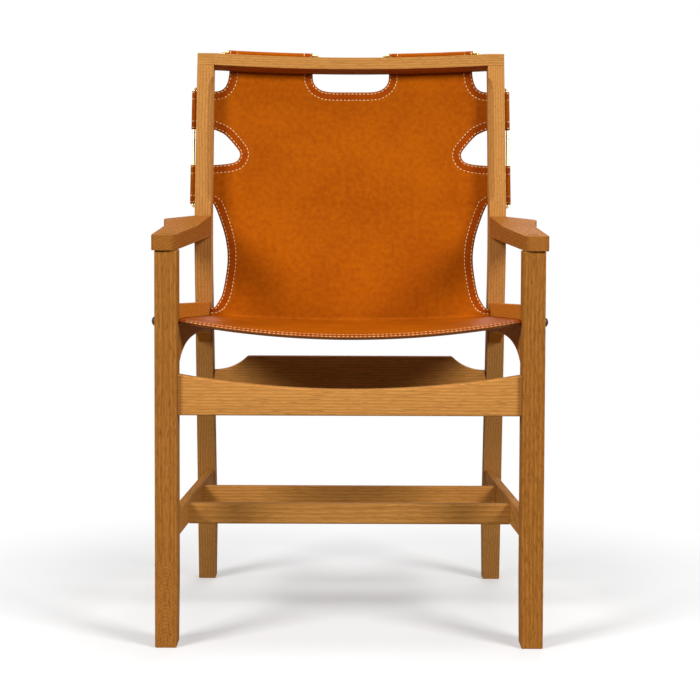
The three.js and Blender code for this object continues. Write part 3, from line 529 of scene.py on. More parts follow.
def mesh_object(name, mesh):
    """Turns a bmesh into an object at the origin."""
    data = bpy.data.meshes.new(name)
    mesh.to_mesh(data)
    mesh.free()
    piece = bpy.data.objects.new(name, data)
    bpy.context.scene.collection.objects.link(piece)
    return piece


def finished(name, mesh, material_names, smooth_angle, replaced=()):
    """Turns a bmesh into a piece of the chair that rides on the one body."""
    piece = mesh_object(name, mesh)
    piece.data.shade_smooth()
    piece.data.set_sharp_from_angle(angle=smooth_angle)
    for material_name in material_names:
        piece.data.materials.append(bpy.data.materials[material_name])
    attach(piece, "root")
    if replaced:
        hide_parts(*replaced)
    return piece


def node_mesh(name):
    mesh = bmesh.new()
    mesh.from_mesh(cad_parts[name].data)
    bmesh.ops.remove_doubles(mesh, verts=mesh.verts, dist=1e-5)
    return mesh


# Node trees

class Tree:
    """A node tree with short ways to add and join nodes."""

    def __init__(self, tree):
        self.tree = tree

    def add(self, kind, sockets=None, output=0, **settings):
        node = self.tree.nodes.new(kind)
        for key, value in settings.items():
            setattr(node, key, value)
        for key, value in (sockets or {}).items():
            if isinstance(value, bpy.types.NodeSocket):
                self.tree.links.new(value, node.inputs[key])
            else:
                node.inputs[key].default_value = value
        return node.outputs[output]

    def join(self, value, socket):
        self.tree.links.new(value, socket)

    def math(self, operation, *values):
        return self.add("ShaderNodeMath", dict(enumerate(values)), operation=operation)

    def times(self, value, factor):
        return self.math("MULTIPLY", value, factor)

    def times_plus(self, value, factor, more):
        return self.math("MULTIPLY_ADD", value, factor, more)

    def spread(self, value, low, high, to_low=0.0, to_high=1.0):
        return self.add("ShaderNodeMapRange", {
            "Value": value, "From Min": low, "From Max": high, "To Min": to_low, "To Max": to_high,
        }, interpolation_type="SMOOTHSTEP")

    def mix(self, share, start, end, blend_type="MIX"):
        """Two colours mixed: the node's colour sockets are 6 and 7, and its colour output is 2."""
        return self.add(
            "ShaderNodeMix", {0: share, 6: start, 7: end}, 2, data_type="RGBA", blend_type=blend_type)

    def noise(self, vector, scale, detail=2.0, roughness=0.5, distortion=0.0):
        return self.add("ShaderNodeTexNoise", {
            "Vector": vector, "Scale": scale, "Detail": detail, "Roughness": roughness,
            "Distortion": distortion})

    def stretched(self, vector, share):
        """Coordinates whose patterns run long along Z."""
        return self.add("ShaderNodeVectorMath", {0: vector, 1: (1, 1, share)}, operation="MULTIPLY")

    def seen(self):
        """1 for the rays that show the surface itself, 0 for the light that it sends on."""
        rays = self.add("ShaderNodeLightPath").node.outputs
        return self.math("MAXIMUM", rays["Is Camera Ray"], self.math(
            "MAXIMUM", rays["Is Glossy Ray"], rays["Is Transmission Ray"]))


def shader_group(name, colours, values=()):
    """A group that takes a vector, colours and values, and gives a colour, a roughness and a height."""
    group = bpy.data.node_groups.new(name, "ShaderNodeTree")
    for way, kind, labels in (
        ("INPUT", "Vector", ["Vector"]), ("INPUT", "Color", colours), ("INPUT", "Float", values),
        ("OUTPUT", "Color", ["Color"]), ("OUTPUT", "Float", ["Roughness", "Height"]),
    ):
        for label in labels:
            group.interface.new_socket(name=label, in_out=way, socket_type=f"NodeSocket{kind}")
    tree = Tree(group)
    given, out = group.nodes.new("NodeGroupInput").outputs, group.nodes.new("NodeGroupOutput").inputs

    def give(*results):
        for value, socket in zip(results, out):
            tree.join(value, socket)

    return tree, given, give


def oak_grain():
    """Growth rings round a far heart, fibres and open pores, with the grain along Z."""
    ring_width, sway_reach, ripple_reach = 0.0046, 0.032, 0.0035
    late_share, fibre_share, patch_share, pore_share = 0.42, 0.65, 0.5, 0.5
    tree, given, give = shader_group("Oak grain", ["Light Wood", "Dark Wood", "Pore"], ["Fleck", "Dive"])
    vector = given["Vector"]
    long = tree.stretched(vector, 0.11)
    sway = tree.noise(long, 8, 2)
    ripple = tree.noise(long, 60, 2)
    x, y, _ = tree.add("ShaderNodeSeparateXYZ", {0: vector}).node.outputs
    radius = tree.math("SQRT", tree.math("ADD", tree.times(x, x), tree.times(y, y)))
    radius = tree.math("ADD", given["Dive"], radius)
    radius = tree.times_plus(sway, sway_reach, radius)
    radius = tree.times_plus(ripple, ripple_reach, radius)
    phase = tree.math("FRACT", tree.math("DIVIDE", radius, ring_width))
    late = tree.times(tree.spread(phase, 0.2, 0.92), tree.spread(phase, 0.93, 1.0, 1.0, 0.0))
    fibres = tree.noise(tree.stretched(vector, 0.03), 620, 3, 0.6)
    patches = tree.noise(long, 5, 2)
    tone = tree.times_plus(late, late_share, tree.times_plus(fibres, fibre_share, -0.18))
    tone = tree.times_plus(patches, patch_share, tree.math("ADD", tone, -0.16))
    tone = tree.math("MAXIMUM", tree.math("MINIMUM", tone, 1.0), 0.0)
    pores = tree.times(tree.spread(tree.noise(tree.stretched(vector, 0.05), 1000, 1), 0.54, 0.68),
                       tree.spread(phase, 0.3, 0.65, 1.0, 0.15))
    wood = tree.mix(tone, given["Light Wood"], given["Dark Wood"])
    flecks = tree.spread(tree.noise(tree.stretched(vector, 0.16), 430, 2, 0.6), 0.5, 0.66)
    pores = tree.math("MAXIMUM", pores, tree.times(flecks, given["Fleck"]))
    give(tree.mix(tree.times(pores, pore_share), wood, given["Pore"]),
         tree.times_plus(pores, 0.2, tree.times_plus(fibres, 0.15, 0.6)),
         tree.math("SUBTRACT", tree.times(fibres, 0.4), pores))


def leather_grain():
    """Mottled waxed leather, with a redder band between the two rows of stitching and pressed seams."""
    rim_strength, seam_half, seam_depth = 0.75, 1.4, 0.8
    tree, given, give = shader_group(
        "Leather grain", ["Leather", "Dark Leather", "Band"], ["Edge Distance"])
    vector, distance = given["Vector"], given["Edge Distance"]
    clouds = tree.noise(vector, 9, 3, 0.55, 0.3)
    specks = tree.noise(vector, 120, 4, 0.62)
    shade = tree.spread(tree.times_plus(specks, 0.9, tree.times(clouds, 0.6)), 0.45, 1.05)
    colour = tree.mix(shade, given["Dark Leather"], given["Leather"])
    band = tree.times(tree.spread(distance, 1.5, 3.5), tree.spread(distance, 13.0, 14.5, 1.0, 0.0))
    colour = tree.mix(band, colour, tree.mix(1.0, colour, given["Band"], "MULTIPLY"))
    rim = tree.spread(distance, 0.4, 1.6, rim_strength, 0.0)
    pores = tree.noise(vector, 900, 3, 0.65)
    creases = tree.noise(vector, 260, 3, 0.6, 0.8)
    seams = [
        tree.spread(tree.math("ABSOLUTE", tree.math("SUBTRACT", distance, row)), 0.0, seam_half, 1.0, 0.0)
        for row in SEAM_ROWS]
    height = tree.times_plus(pores, 0.18, tree.times(creases, 0.14))
    give(tree.mix(rim, colour, given["Dark Leather"]),
         tree.times_plus(pores, 0.08, tree.times_plus(clouds, -0.12, 0.56)),
         tree.math("SUBTRACT", height, tree.times(tree.math("MAXIMUM", *seams), seam_depth)))


def patina():
    """Metal that has gone darker and duller in soft patches."""
    tree, given, give = shader_group("Patina", ["Bright", "Dull"])
    clouds = tree.noise(given["Vector"], 90, 4, 0.6)
    scratches = tree.noise(tree.stretched(given["Vector"], 0.2), 900, 2)
    share = tree.spread(clouds, 0.35, 0.7)
    give(tree.mix(share, given["Bright"], given["Dull"]),
         tree.times_plus(share, 0.2, tree.times_plus(scratches, 0.15, 0.4)), scratches)


def tinted(colour, tint=(1.0, 1.0, 1.0)):
    return (*(part * share for part, share in zip(colour, tint)), 1.0)


def grey(value):
    return (value, value, value, 1.0)


def new_material(name):
    material = bpy.data.materials.new(name)
    material.use_nodes = True
    return material, Tree(material.node_tree), material.node_tree.nodes["Principled BSDF"]


def grouped_material(name, group, sockets, bump, **shader_sockets):
    """A material whose colour, roughness and bump come from a group."""
    _, tree, shader = new_material(name)
    made = {key: value(tree) if callable(value) else value for key, value in sockets.items()}
    given = tree.add("ShaderNodeGroup", made, node_tree=bpy.data.node_groups[group]).node.outputs
    strength, distance = bump
    tree.join(given["Color"], shader.inputs["Base Color"])
    tree.join(given["Roughness"], shader.inputs["Roughness"])
    tree.join(tree.add("ShaderNodeBump", {
        "Strength": strength, "Distance": distance, "Height": given["Height"]}), shader.inputs["Normal"])
    for key, value in shader_sockets.items():
        shader.inputs[key.replace("_", " ")].default_value = value


def object_coordinates(location=(0, 0, 0), rotation=(0, 0, 0)):
    return lambda tree: tree.add("ShaderNodeMapping", {
        "Vector": tree.add("ShaderNodeTexCoord", output="Object"),
        "Location": location, "Rotation": rotation})


def metal(name, bright, dull):
    grouped_material(name, "Patina", {
        "Vector": object_coordinates(), "Bright": bright, "Dull": dull}, (0.15, 0.0001), Metallic=1.0)


def foot_dive(tree):
    """How far the rings run outward near the foot, which draws arches on the leg's face."""
    arch_height, dive = 0.13, 0.10
    height = tree.add("ShaderNodeSeparateXYZ", {0: tree.add("ShaderNodeTexCoord", output="Object")}, "Z")
    return tree.add("ShaderNodeMapRange", {
        "Value": height, "From Min": 0.0, "From Max": arch_height, "To Min": 0.0, "To Max": dive})


def hide_coordinates(tree):
    return tree.add("ShaderNodeUVMap", uv_map="flat_hide")


def edge_distance(tree):
    return tree.add("ShaderNodeAttribute", output="Fac", attribute_name="edge_distance")


# What a user may change

def colour_setting(name, description, default):
    return FloatVectorProperty(
        name=name, description=description, subtype="COLOR", size=3, min=0, max=1, default=default)


def length_setting(name, description, default, low, high):
    return FloatProperty(
        name=name, description=description, default=default, min=low, max=high,
        unit="LENGTH", subtype="DISTANCE")


def power_setting(name, description, default):
    return FloatProperty(name=name, description=description, default=default, unit="POWER")


class OakSettings(bpy.types.PropertyGroup):
    """Sizes and colours of the oak."""

    light: colour_setting("Light wood", "Colour of the early wood", (0.66, 0.30, 0.075))
    dark: colour_setting("Dark wood", "Colour of the late wood", (0.35, 0.128, 0.018))
    pore: colour_setting("Pores", "Colour of the open pores", (0.16, 0.06, 0.012))
    arris: length_setting(
        "Rounded arrises", "How far the sharp edges are rounded over", 0.0024, 0.0, 0.004)


class HideSettings(bpy.types.PropertyGroup):
    """Sizes and colours of the leather and its thread."""

    leather: colour_setting("Leather", "Colour of the hide", (0.42, 0.094, 0.0006))
    dark: colour_setting("Dark leather", "Colour of the darker mottling", (0.30, 0.057, 0.0004))
    band: colour_setting("Band", "Tint of the band between the two rows of stitching", (0.86, 0.66, 0.8))
    edge: colour_setting("Cut edge", "Colour of the burnished cut edge", (0.16, 0.056, 0.016))
    thread: colour_setting("Thread", "Colour of the stitching", (0.84, 0.68, 0.33))
    pitch: length_setting("Stitch pitch", "Distance from one stitch to the next", 0.0066, 0.003, 0.01)
    stitch_length: length_setting(
        "Stitch length", "Length of a stitch between its two holes", 0.0045, 0.002, 0.009)


class MetalSettings(bpy.types.PropertyGroup):
    """Colours and fineness of the metal."""

    brass: colour_setting("Brass", "Colour of the rods where they are bright", (0.16, 0.135, 0.065))
    patina: colour_setting("Patina", "Colour of the rods where they have gone dull", (0.05, 0.047, 0.025))
    bronze: colour_setting("Bronze", "Colour of the bolt heads", (0.17, 0.075, 0.04))
    sides: IntProperty(name="Bolt sides", description="Steps round a bolt head", default=32, min=12, max=64)


class StageSettings(bpy.types.PropertyGroup):
    """The camera and the lamps."""

    distance: length_setting("Camera distance", "From the front legs to the camera", 2.85, 1.0, 10.0)
    height: length_setting("Camera height", "Height of the camera above the floor", 0.734, 0.0, 3.0)
    pitch: FloatProperty(
        name="Camera pitch", description="How far the camera looks down",
        default=math.radians(3.2), min=0.0, max=1.5, unit="ROTATION", subtype="ANGLE")
    lens: FloatProperty(
        name="Focal length", description="Focal length on a 36 mm sensor", default=97.87, min=10, max=300)
    key: power_setting("Key lamps", "Power of each of the two front lamps", 108)
    top: power_setting("Top lamp", "Power of the lamp overhead", 29)
    back: power_setting("Back lamp", "Power of the lamp behind", 36)
    room: FloatProperty(name="Room light", description="Strength of the light all round", default=0.02)


# Pieces

class ARMCHAIR_OT_stage(bpy.types.Operator):
    """Make the floor, the lamps, the pale room and the camera"""

    bl_idname = "armchair.stage"
    bl_label = "Stage"

    def execute(self, context):
        settings = context.scene.armchair_stage
        context.scene.view_settings.view_transform = "Standard"
        self.floor()
        self.room(context, settings)
        centre = Vector((0, 0, 0.55))
        for name, place, size, power in (
            ("key_lamp_left", (-2.25, -2.45, 2.25), 1.2, settings.key),
            ("key_lamp_right", (2.25, -2.45, 2.25), 1.2, settings.key),
            ("top_lamp", (0.05, 0.1, 3.0), 1.2, settings.top),
            ("back_lamp", (0.5, 3.4, 1.9), 1.8, settings.back),
        ):
            data = bpy.data.lights.new(name, "AREA")
            data.size, data.energy = size, power
            lamp = bpy.data.objects.new(name, data)
            lamp.location = place
            lamp.rotation_euler = (centre - Vector(place)).to_track_quat("-Z", "Y").to_euler()
            context.scene.collection.objects.link(lamp)
        self.camera(context, settings)
        return {"FINISHED"}

    @staticmethod
    def floor():
        fade_start, fade_end, glow, white = 0.45, 0.95, 0.32, (1, 1, 1, 1)
        mesh = bmesh.new()
        bmesh.ops.create_grid(mesh, x_segments=1, y_segments=1, size=9)
        material, tree, shader = new_material("pale_floor")
        for key, value in (("Base Color", grey(0.62)), ("Roughness", 0.9), ("Specular IOR Level", 0.0),
                           ("Emission Color", white)):
            shader.inputs[key].default_value = value
        place = tree.add("ShaderNodeTexCoord", output="Object")
        away = tree.spread(
            tree.add("ShaderNodeVectorMath", {0: place}, "Value", operation="LENGTH"), fade_start, fade_end)
        seen = tree.seen()
        tree.join(tree.times(seen, glow), shader.inputs["Emission Strength"])
        dim = tree.add("ShaderNodeBsdfDiffuse", {"Color": tree.mix(away, grey(0.35), grey(0.03))})
        lit = tree.add("ShaderNodeMixShader", {0: seen, 1: dim, 2: shader.outputs[0]})
        bright = tree.add("ShaderNodeEmission", {"Color": white, "Strength": 1.0})
        shown = tree.add("ShaderNodeMixShader", {0: tree.times(away, seen), 1: lit, 2: bright})
        tree.join(shown, material.node_tree.nodes["Material Output"].inputs["Surface"])
        piece = mesh_object("floor", mesh)
        piece.data.materials.append(material)

    @staticmethod
    def room(context, settings):
        world = bpy.data.worlds.new("pale_room")
        world.use_nodes = True
        context.scene.world = world
        tree = Tree(world.node_tree)
        background = world.node_tree.nodes["Background"]
        background.inputs["Color"].default_value = (1, 1, 1, 1)
        tree.join(tree.spread(tree.seen(), 0.0, 1.0, settings.room, 1.0), background.inputs["Strength"])

    @staticmethod
    def camera(context, settings):
        data = bpy.data.cameras.new("camera")
        data.lens, data.sensor_width = settings.lens, 36
        data.shift_x, data.shift_y = -0.0002, -0.114
        roll = math.radians(0.19)
        camera = bpy.data.objects.new("camera", data)
        place = Matrix.Translation((0, -FRAME_MIDDLE * MM - settings.distance, settings.height))
        turn = Matrix.Rotation(math.pi / 2 - settings.pitch, 4, "X") @ Matrix.Rotation(roll, 4, "Z")
        camera.matrix_world = place @ turn
        context.scene.collection.objects.link(camera)
        context.scene.camera = camera


class ARMCHAIR_OT_oak(bpy.types.Operator):
    """Make the oak pieces, with rounded arrises where no other piece meets them"""

    bl_idname = "armchair.oak"
    bl_label = "Oak pieces"

    def execute(self, context):
        settings = context.scene.armchair_oak
        oak_grain()
        meshes = {name: node_mesh(name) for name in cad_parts}
        trees = {name: BVHTree.FromBMesh(mesh) for name, mesh in meshes.items()}
        for number, (name, turn) in enumerate(OAK_PIECES.items()):
            mesh = meshes[name]
            others = [tree for other, tree in trees.items() if other != name]
            self.round_over(mesh, others, settings.arris)
            self.material(name, number, turn, settings)
            finished(f"{name}_oak", mesh, [f"{name}_oak"], OAK_SMOOTH, [name])
        for name, mesh in meshes.items():
            if name not in OAK_PIECES:
                mesh.free()
        return {"FINISHED"}

    @staticmethod
    def round_over(mesh, others, width):
        flat, sharp, near = math.radians(0.4), math.radians(30), 0.0011
        bmesh.ops.dissolve_limit(
            mesh, angle_limit=flat, verts=mesh.verts, edges=mesh.edges, use_dissolve_boundaries=False)

        def joined(point):
            return any(tree.find_nearest(point, near)[0] is not None for tree in others)

        chosen = []
        for edge in mesh.edges:
            if len(edge.link_faces) != 2 or edge.calc_face_angle_signed(0.0) < sharp:
                continue
            start, end = (vert.co for vert in edge.verts)
            if all(joined(start.lerp(end, share)) for share in (0.0, 0.3, 0.5, 0.7, 1.0)):
                continue
            chosen.append(edge)
        bmesh.ops.bevel(
            mesh, geom=chosen, offset=width, offset_type="OFFSET", segments=3, profile=0.5,
            affect="EDGES", material=-1, clamp_overlap=True, loop_slide=True)

    @staticmethod
    def material(name, number, turn, settings):
        # The tint holds painted light for some pieces: painted bounce light on the seat rails, painted shade
        # on the front legs.
        tint, fleck = next(
            (look for start, look in OAK_TINTS_AND_PAINTED_LIGHT.items() if name.startswith(start)), PLAIN_OAK)
        nearest, apart, turned, along = 0.075, 0.022, 2.4 * number, 0.37 * number
        heart = nearest + apart * (number % 4)
        where = (heart * math.cos(turned), heart * math.sin(turned), along)
        if name.startswith("rear_leg"):
            where = (2.0 + 0.3 * number, 0.0, along)
        if name == "front_leg_left":
            where = LEFT_LEG_HEART
        grouped_material(f"{name}_oak", "Oak grain", {
            "Vector": object_coordinates(where, turn), "Light Wood": tinted(settings.light, tint),
            "Dark Wood": tinted(settings.dark, tint), "Pore": tinted(settings.pore, tint), "Fleck": fleck,
            "Dive": foot_dive if name == "front_leg_left" else 0.0,
        }, (0.3, 0.0003), Specular_IOR_Level=0.03)


class ARMCHAIR_OT_hide(bpy.types.Operator):
    """Make the leather hide and the second layer sewn under the seat's front edge"""

    bl_idname = "armchair.hide"
    bl_label = "Leather hide"

    def execute(self, context):
        settings = context.scene.armchair_hide
        leather_grain()
        for name, colour, dark, band, bump in (
            ("saddle_leather", settings.leather, settings.dark, settings.band, (0.4, 0.0005)),
            ("leather_edge", Vector(settings.edge) * 1.5, settings.edge, (1, 1, 1), (0.3, 0.0003)),
        ):
            grouped_material(name, "Leather grain", {
                "Vector": hide_coordinates, "Edge Distance": edge_distance, "Leather": tinted(colour),
                "Dark Leather": tinted(dark), "Band": tinted(band),
            }, bump, Specular_IOR_Level=0.03)
        self.hide()
        self.facing()
        return {"FINISHED"}

    @staticmethod
    def flat_mesh(columns, rows, keeps):
        """A numbered grid that is bent to its place later, with the column and row of each number."""
        mesh = bmesh.new()
        bmesh.ops.create_grid(mesh, x_segments=columns, y_segments=rows, size=0.5)
        mesh.verts.layers.int.new("number")
        mesh.verts.layers.float.new("edge_distance")
        mesh.loops.layers.uv.new("flat_hide")
        number = mesh.verts.layers.int["number"]
        where = []
        for at, vert in enumerate(mesh.verts):
            vert[number] = at
            where.append((round((vert.co.x + 0.5) * columns), round((vert.co.y + 0.5) * rows)))
        gone = [face for face in mesh.faces if not keeps(
            min(where[vert[number]][0] for vert in face.verts),
            min(where[vert[number]][1] for vert in face.verts))]
        bmesh.ops.delete(mesh, geom=gone, context="FACES")
        return mesh, number, where

    def hide(self):
        half = MIDDLE_COLUMNS + HEM_COLUMNS
        steps = [row_steps(row) if carries_hem(row) else None for row in ROWS]

        def keeps(column, row):
            out = column - half if column >= half else half - 1 - column
            if out >= MIDDLE_COLUMNS:
                return cell_in_hem(ROWS[row], ROWS[row + 1])
            return True

        mesh, number, where = self.flat_mesh(2 * half, len(ROWS) - 1, keeps)
        flat = np.zeros((len(where), 2))
        for at, (column, row) in enumerate(where):
            out = abs(column - half)
            across = COLUMN_SHARES[min(out, MIDDLE_COLUMNS)] * row_half(ROWS[row])
            if out > MIDDLE_COLUMNS:
                across += steps[row][out - MIDDLE_COLUMNS] if steps[row] else FAR_OFF
            flat[at] = (across, ROW_PLACES[row])
        sides = np.array([1.0 if column >= half else -1.0 for column, _ in where])
        edge = self.cut(mesh, number, flat)
        area = self.bend(mesh, number, flat, sides, edge)
        self.layer("leather_hide", mesh, "leather_sling")
        width = 2 * max(row_half(row) + steps[at][HEM_COLUMNS] for at, row in enumerate(ROWS) if steps[at])

    def cut(self, mesh, number, flat):
        """Moves corners onto the cut-outs' edges, takes away what lies inside, and gives edge distances."""
        edges = cut_edges()
        voids = void_shapes(edges)
        depth = np.full(len(flat), np.inf)
        snapped = np.zeros(len(flat), bool)
        for line, shape in zip(edges.values(), voids):
            foot, distance = nearest_on(flat, line)
            inside = inside_shape(flat, shape)
            close = (distance < SNAP_REACH) & ~snapped
            flat[close] = foot[close]
            snapped |= close
            depth = np.minimum(depth, np.where(inside, -distance, distance))
        depth[snapped] = 0.0
        for face in list(mesh.faces):
            sides = [depth[vert[number]] for vert in face.verts]
            on = [vert for vert, side in zip(face.verts, sides) if side == 0.0]
            if min(sides) < 0 < max(sides) and len(on) == 2:
                bmesh.utils.face_split(face, on[0], on[1])
        gone = []
        for face in mesh.faces:
            sides = [depth[vert[number]] for vert in face.verts]
            if min(sides) < 0 or (max(sides) == 0.0 and self.lies_inside(face, number, flat, voids)):
                gone.append(face)
        bmesh.ops.delete(mesh, geom=gone, context="FACES")
        return np.minimum.reduce([nearest_on(flat, line)[1] for line in edges.values()] + [flat[:, 1]])

    @staticmethod
    def lies_inside(face, number, flat, voids):
        centre = np.mean([flat[vert[number]] for vert in face.verts], axis=0)[None]
        return any(inside_shape(centre, shape)[0] for shape in voids)

    def bend(self, mesh, number, flat, sides, edge):
        """Takes the flat hide to its shape, and gives its flat area."""
        flat_place = 0.5
        for vert in mesh.verts:
            at = vert[number]
            across, along = sides[at] * flat[at][0], flat[at][1]
            self.keep_flat(mesh, vert, across, along, edge[at], flat_place)
            vert.co = Vector((across * MM, along * MM, 0))
        area = sum(face.calc_area() for face in mesh.faces)
        for vert in mesh.verts:
            at = vert[number]
            vert.co = placed(hide_point(sides[at] * flat[at][0], flat[at][1]))
        mesh.verts.layers.int.remove(number)
        mesh.normal_update()
        return area

    @staticmethod
    def keep_flat(mesh, vert, across, along, edge, flat_place):
        """Keeps a corner's distance from the cut edge and its place on the flat leather."""
        vert[mesh.verts.layers.float["edge_distance"]] = edge
        layer = mesh.loops.layers.uv["flat_hide"]
        for loop in vert.link_loops:
            loop[layer].uv = (across * MM + flat_place, along * MM)

    @staticmethod
    def layer(name, mesh, replaced):
        """Finishes a layer of leather and gives it its thickness and its burnished edge."""
        piece = finished(
            name, mesh, ["saddle_leather", "leather_edge"], LEATHER_SMOOTH, [replaced])
        solid = piece.modifiers.new("thickness", "SOLIDIFY")
        solid.thickness = HIDE_THICKNESS * MM
        solid.offset = 0.0
        solid.use_even_offset = True
        solid.material_offset_rim = 1

    def facing(self):
        columns, rows, inset, first_row, flat_place = 110, 4, 0.4, 0.25, 1.5
        mesh, number, where = self.flat_mesh(columns, rows, lambda column, row: True)
        for vert in mesh.verts:
            column, row = where[vert[number]]
            along = mix(first_row, FACING_WIDTH, row / rows)
            reach = seat_half(SEAT_FRONT + along) - inset
            across = mix(-reach, reach, column / columns)
            here, _, normal = hide_frame(across, along)
            self.keep_flat(mesh, vert, across, along, min(along, FACING_WIDTH - along), flat_place)
            vert.co = placed(here - normal * (HIDE_THICKNESS + CLEARANCE))
        mesh.verts.layers.int.remove(number)
        self.layer("front_edge_facing", mesh, "facing_seat_front")


class ARMCHAIR_OT_stitching(bpy.types.Operator):
    """Sew the two rows of thread along every cut edge of the hide"""

    bl_idname = "armchair.stitching"
    bl_label = "Stitching"

    def execute(self, context):
        settings = context.scene.armchair_hide
        _, tree, shader = new_material("cream_thread")
        place = tree.add("ShaderNodeTexCoord", output="Object")
        twist = tree.noise(place, 1600, 2)
        worn = tree.spread(tree.noise(place, 45, 3), 0.3, 0.75)
        colour = tree.mix(worn, tinted(settings.thread), tinted(settings.thread, (0.72, 0.72, 0.72)))
        bump = tree.add("ShaderNodeBump", {"Strength": 0.4, "Distance": 0.0003, "Height": twist})
        tree.join(colour, shader.inputs["Base Color"])
        tree.join(bump, shader.inputs["Normal"])
        shader.inputs["Roughness"].default_value = 0.7
        edges = cut_edges()
        last_across = hem_path(BACK_SAMPLE).length + BACK_HALF - 1.0
        row_inset = 3.0
        names = {"lens": "lens_stitching", "side": "side_cut_stitching",
                 "corner": "corner_stitching", "hand": "hand_hold_stitching"}
        for edge, line in edges.items():
            mesh = bmesh.new()
            for row in SEAM_ROWS:
                path = self.offset(line[::-1], -row) if edge == "hand" else self.offset(line, row)
                self.sew(mesh, path, settings, last_across)
            finished(names[edge], mesh, ["cream_thread"], ALL_SMOOTH)
        mesh = bmesh.new()
        for row in SEAM_ROWS:
            reach = seat_half(SEAT_FRONT + row) - row_inset
            self.sew(mesh, [(0.0, row), (reach, row)], settings, math.inf, layers=2)
        finished("front_edge_stitching", mesh, ["cream_thread"], ALL_SMOOTH)
        return {"FINISHED"}

    @staticmethod
    def offset(line, distance):
        """A line moved to its left on the flat hide."""
        points = [Vector(point) for point in line]
        moved = []
        for at, point in enumerate(points):
            step = (points[min(at + 1, len(points) - 1)] - points[max(at - 1, 0)]).normalized()
            moved.append((point.x - step.y * distance, point.y + step.x * distance))
        return moved

    @staticmethod
    def sew(mesh, path, settings, last_across, layers=1):
        pitch, half_length = settings.pitch / MM, settings.stitch_length / MM / 2
        look, from_front, from_top = 0.5, 0.6, 0.8
        line = Line([(*point, 0.0) for point in path])
        count = int(line.length / pitch)
        for number in range(count):
            middle = (number + 0.5) * pitch
            here = line.at(middle)
            toward = line.at(min(middle + look, line.length)) - line.at(max(middle - look, 0.0))
            if not (from_front < here.y < HIDE_LENGTH - from_top and abs(here.x) < last_across):
                continue
            for side in (1, -1):
                place, along, normal = hide_frame(side * here.x, here.y, (side * toward.x, toward.y))
                below = (HIDE_THICKNESS + CLEARANCE) / 2 * (layers - 1)
                across = normal.cross(along).normalized()
                turn = Matrix((along, across, along.cross(across))).transposed().to_4x4()
                buried = HIDE_THICKNESS / 2 + below
                thick = buried + THREAD_RISE
                shown = math.sqrt(1 - (buried / thick) ** 2)
                size = Matrix.Diagonal((half_length / shown * MM, THREAD_HALF / shown * MM, thick * MM, 1.0))
                bmesh.ops.create_uvsphere(
                    mesh, u_segments=8, v_segments=6, radius=1.0,
                    matrix=Matrix.Translation(placed(place - normal * below)) @ turn @ size)


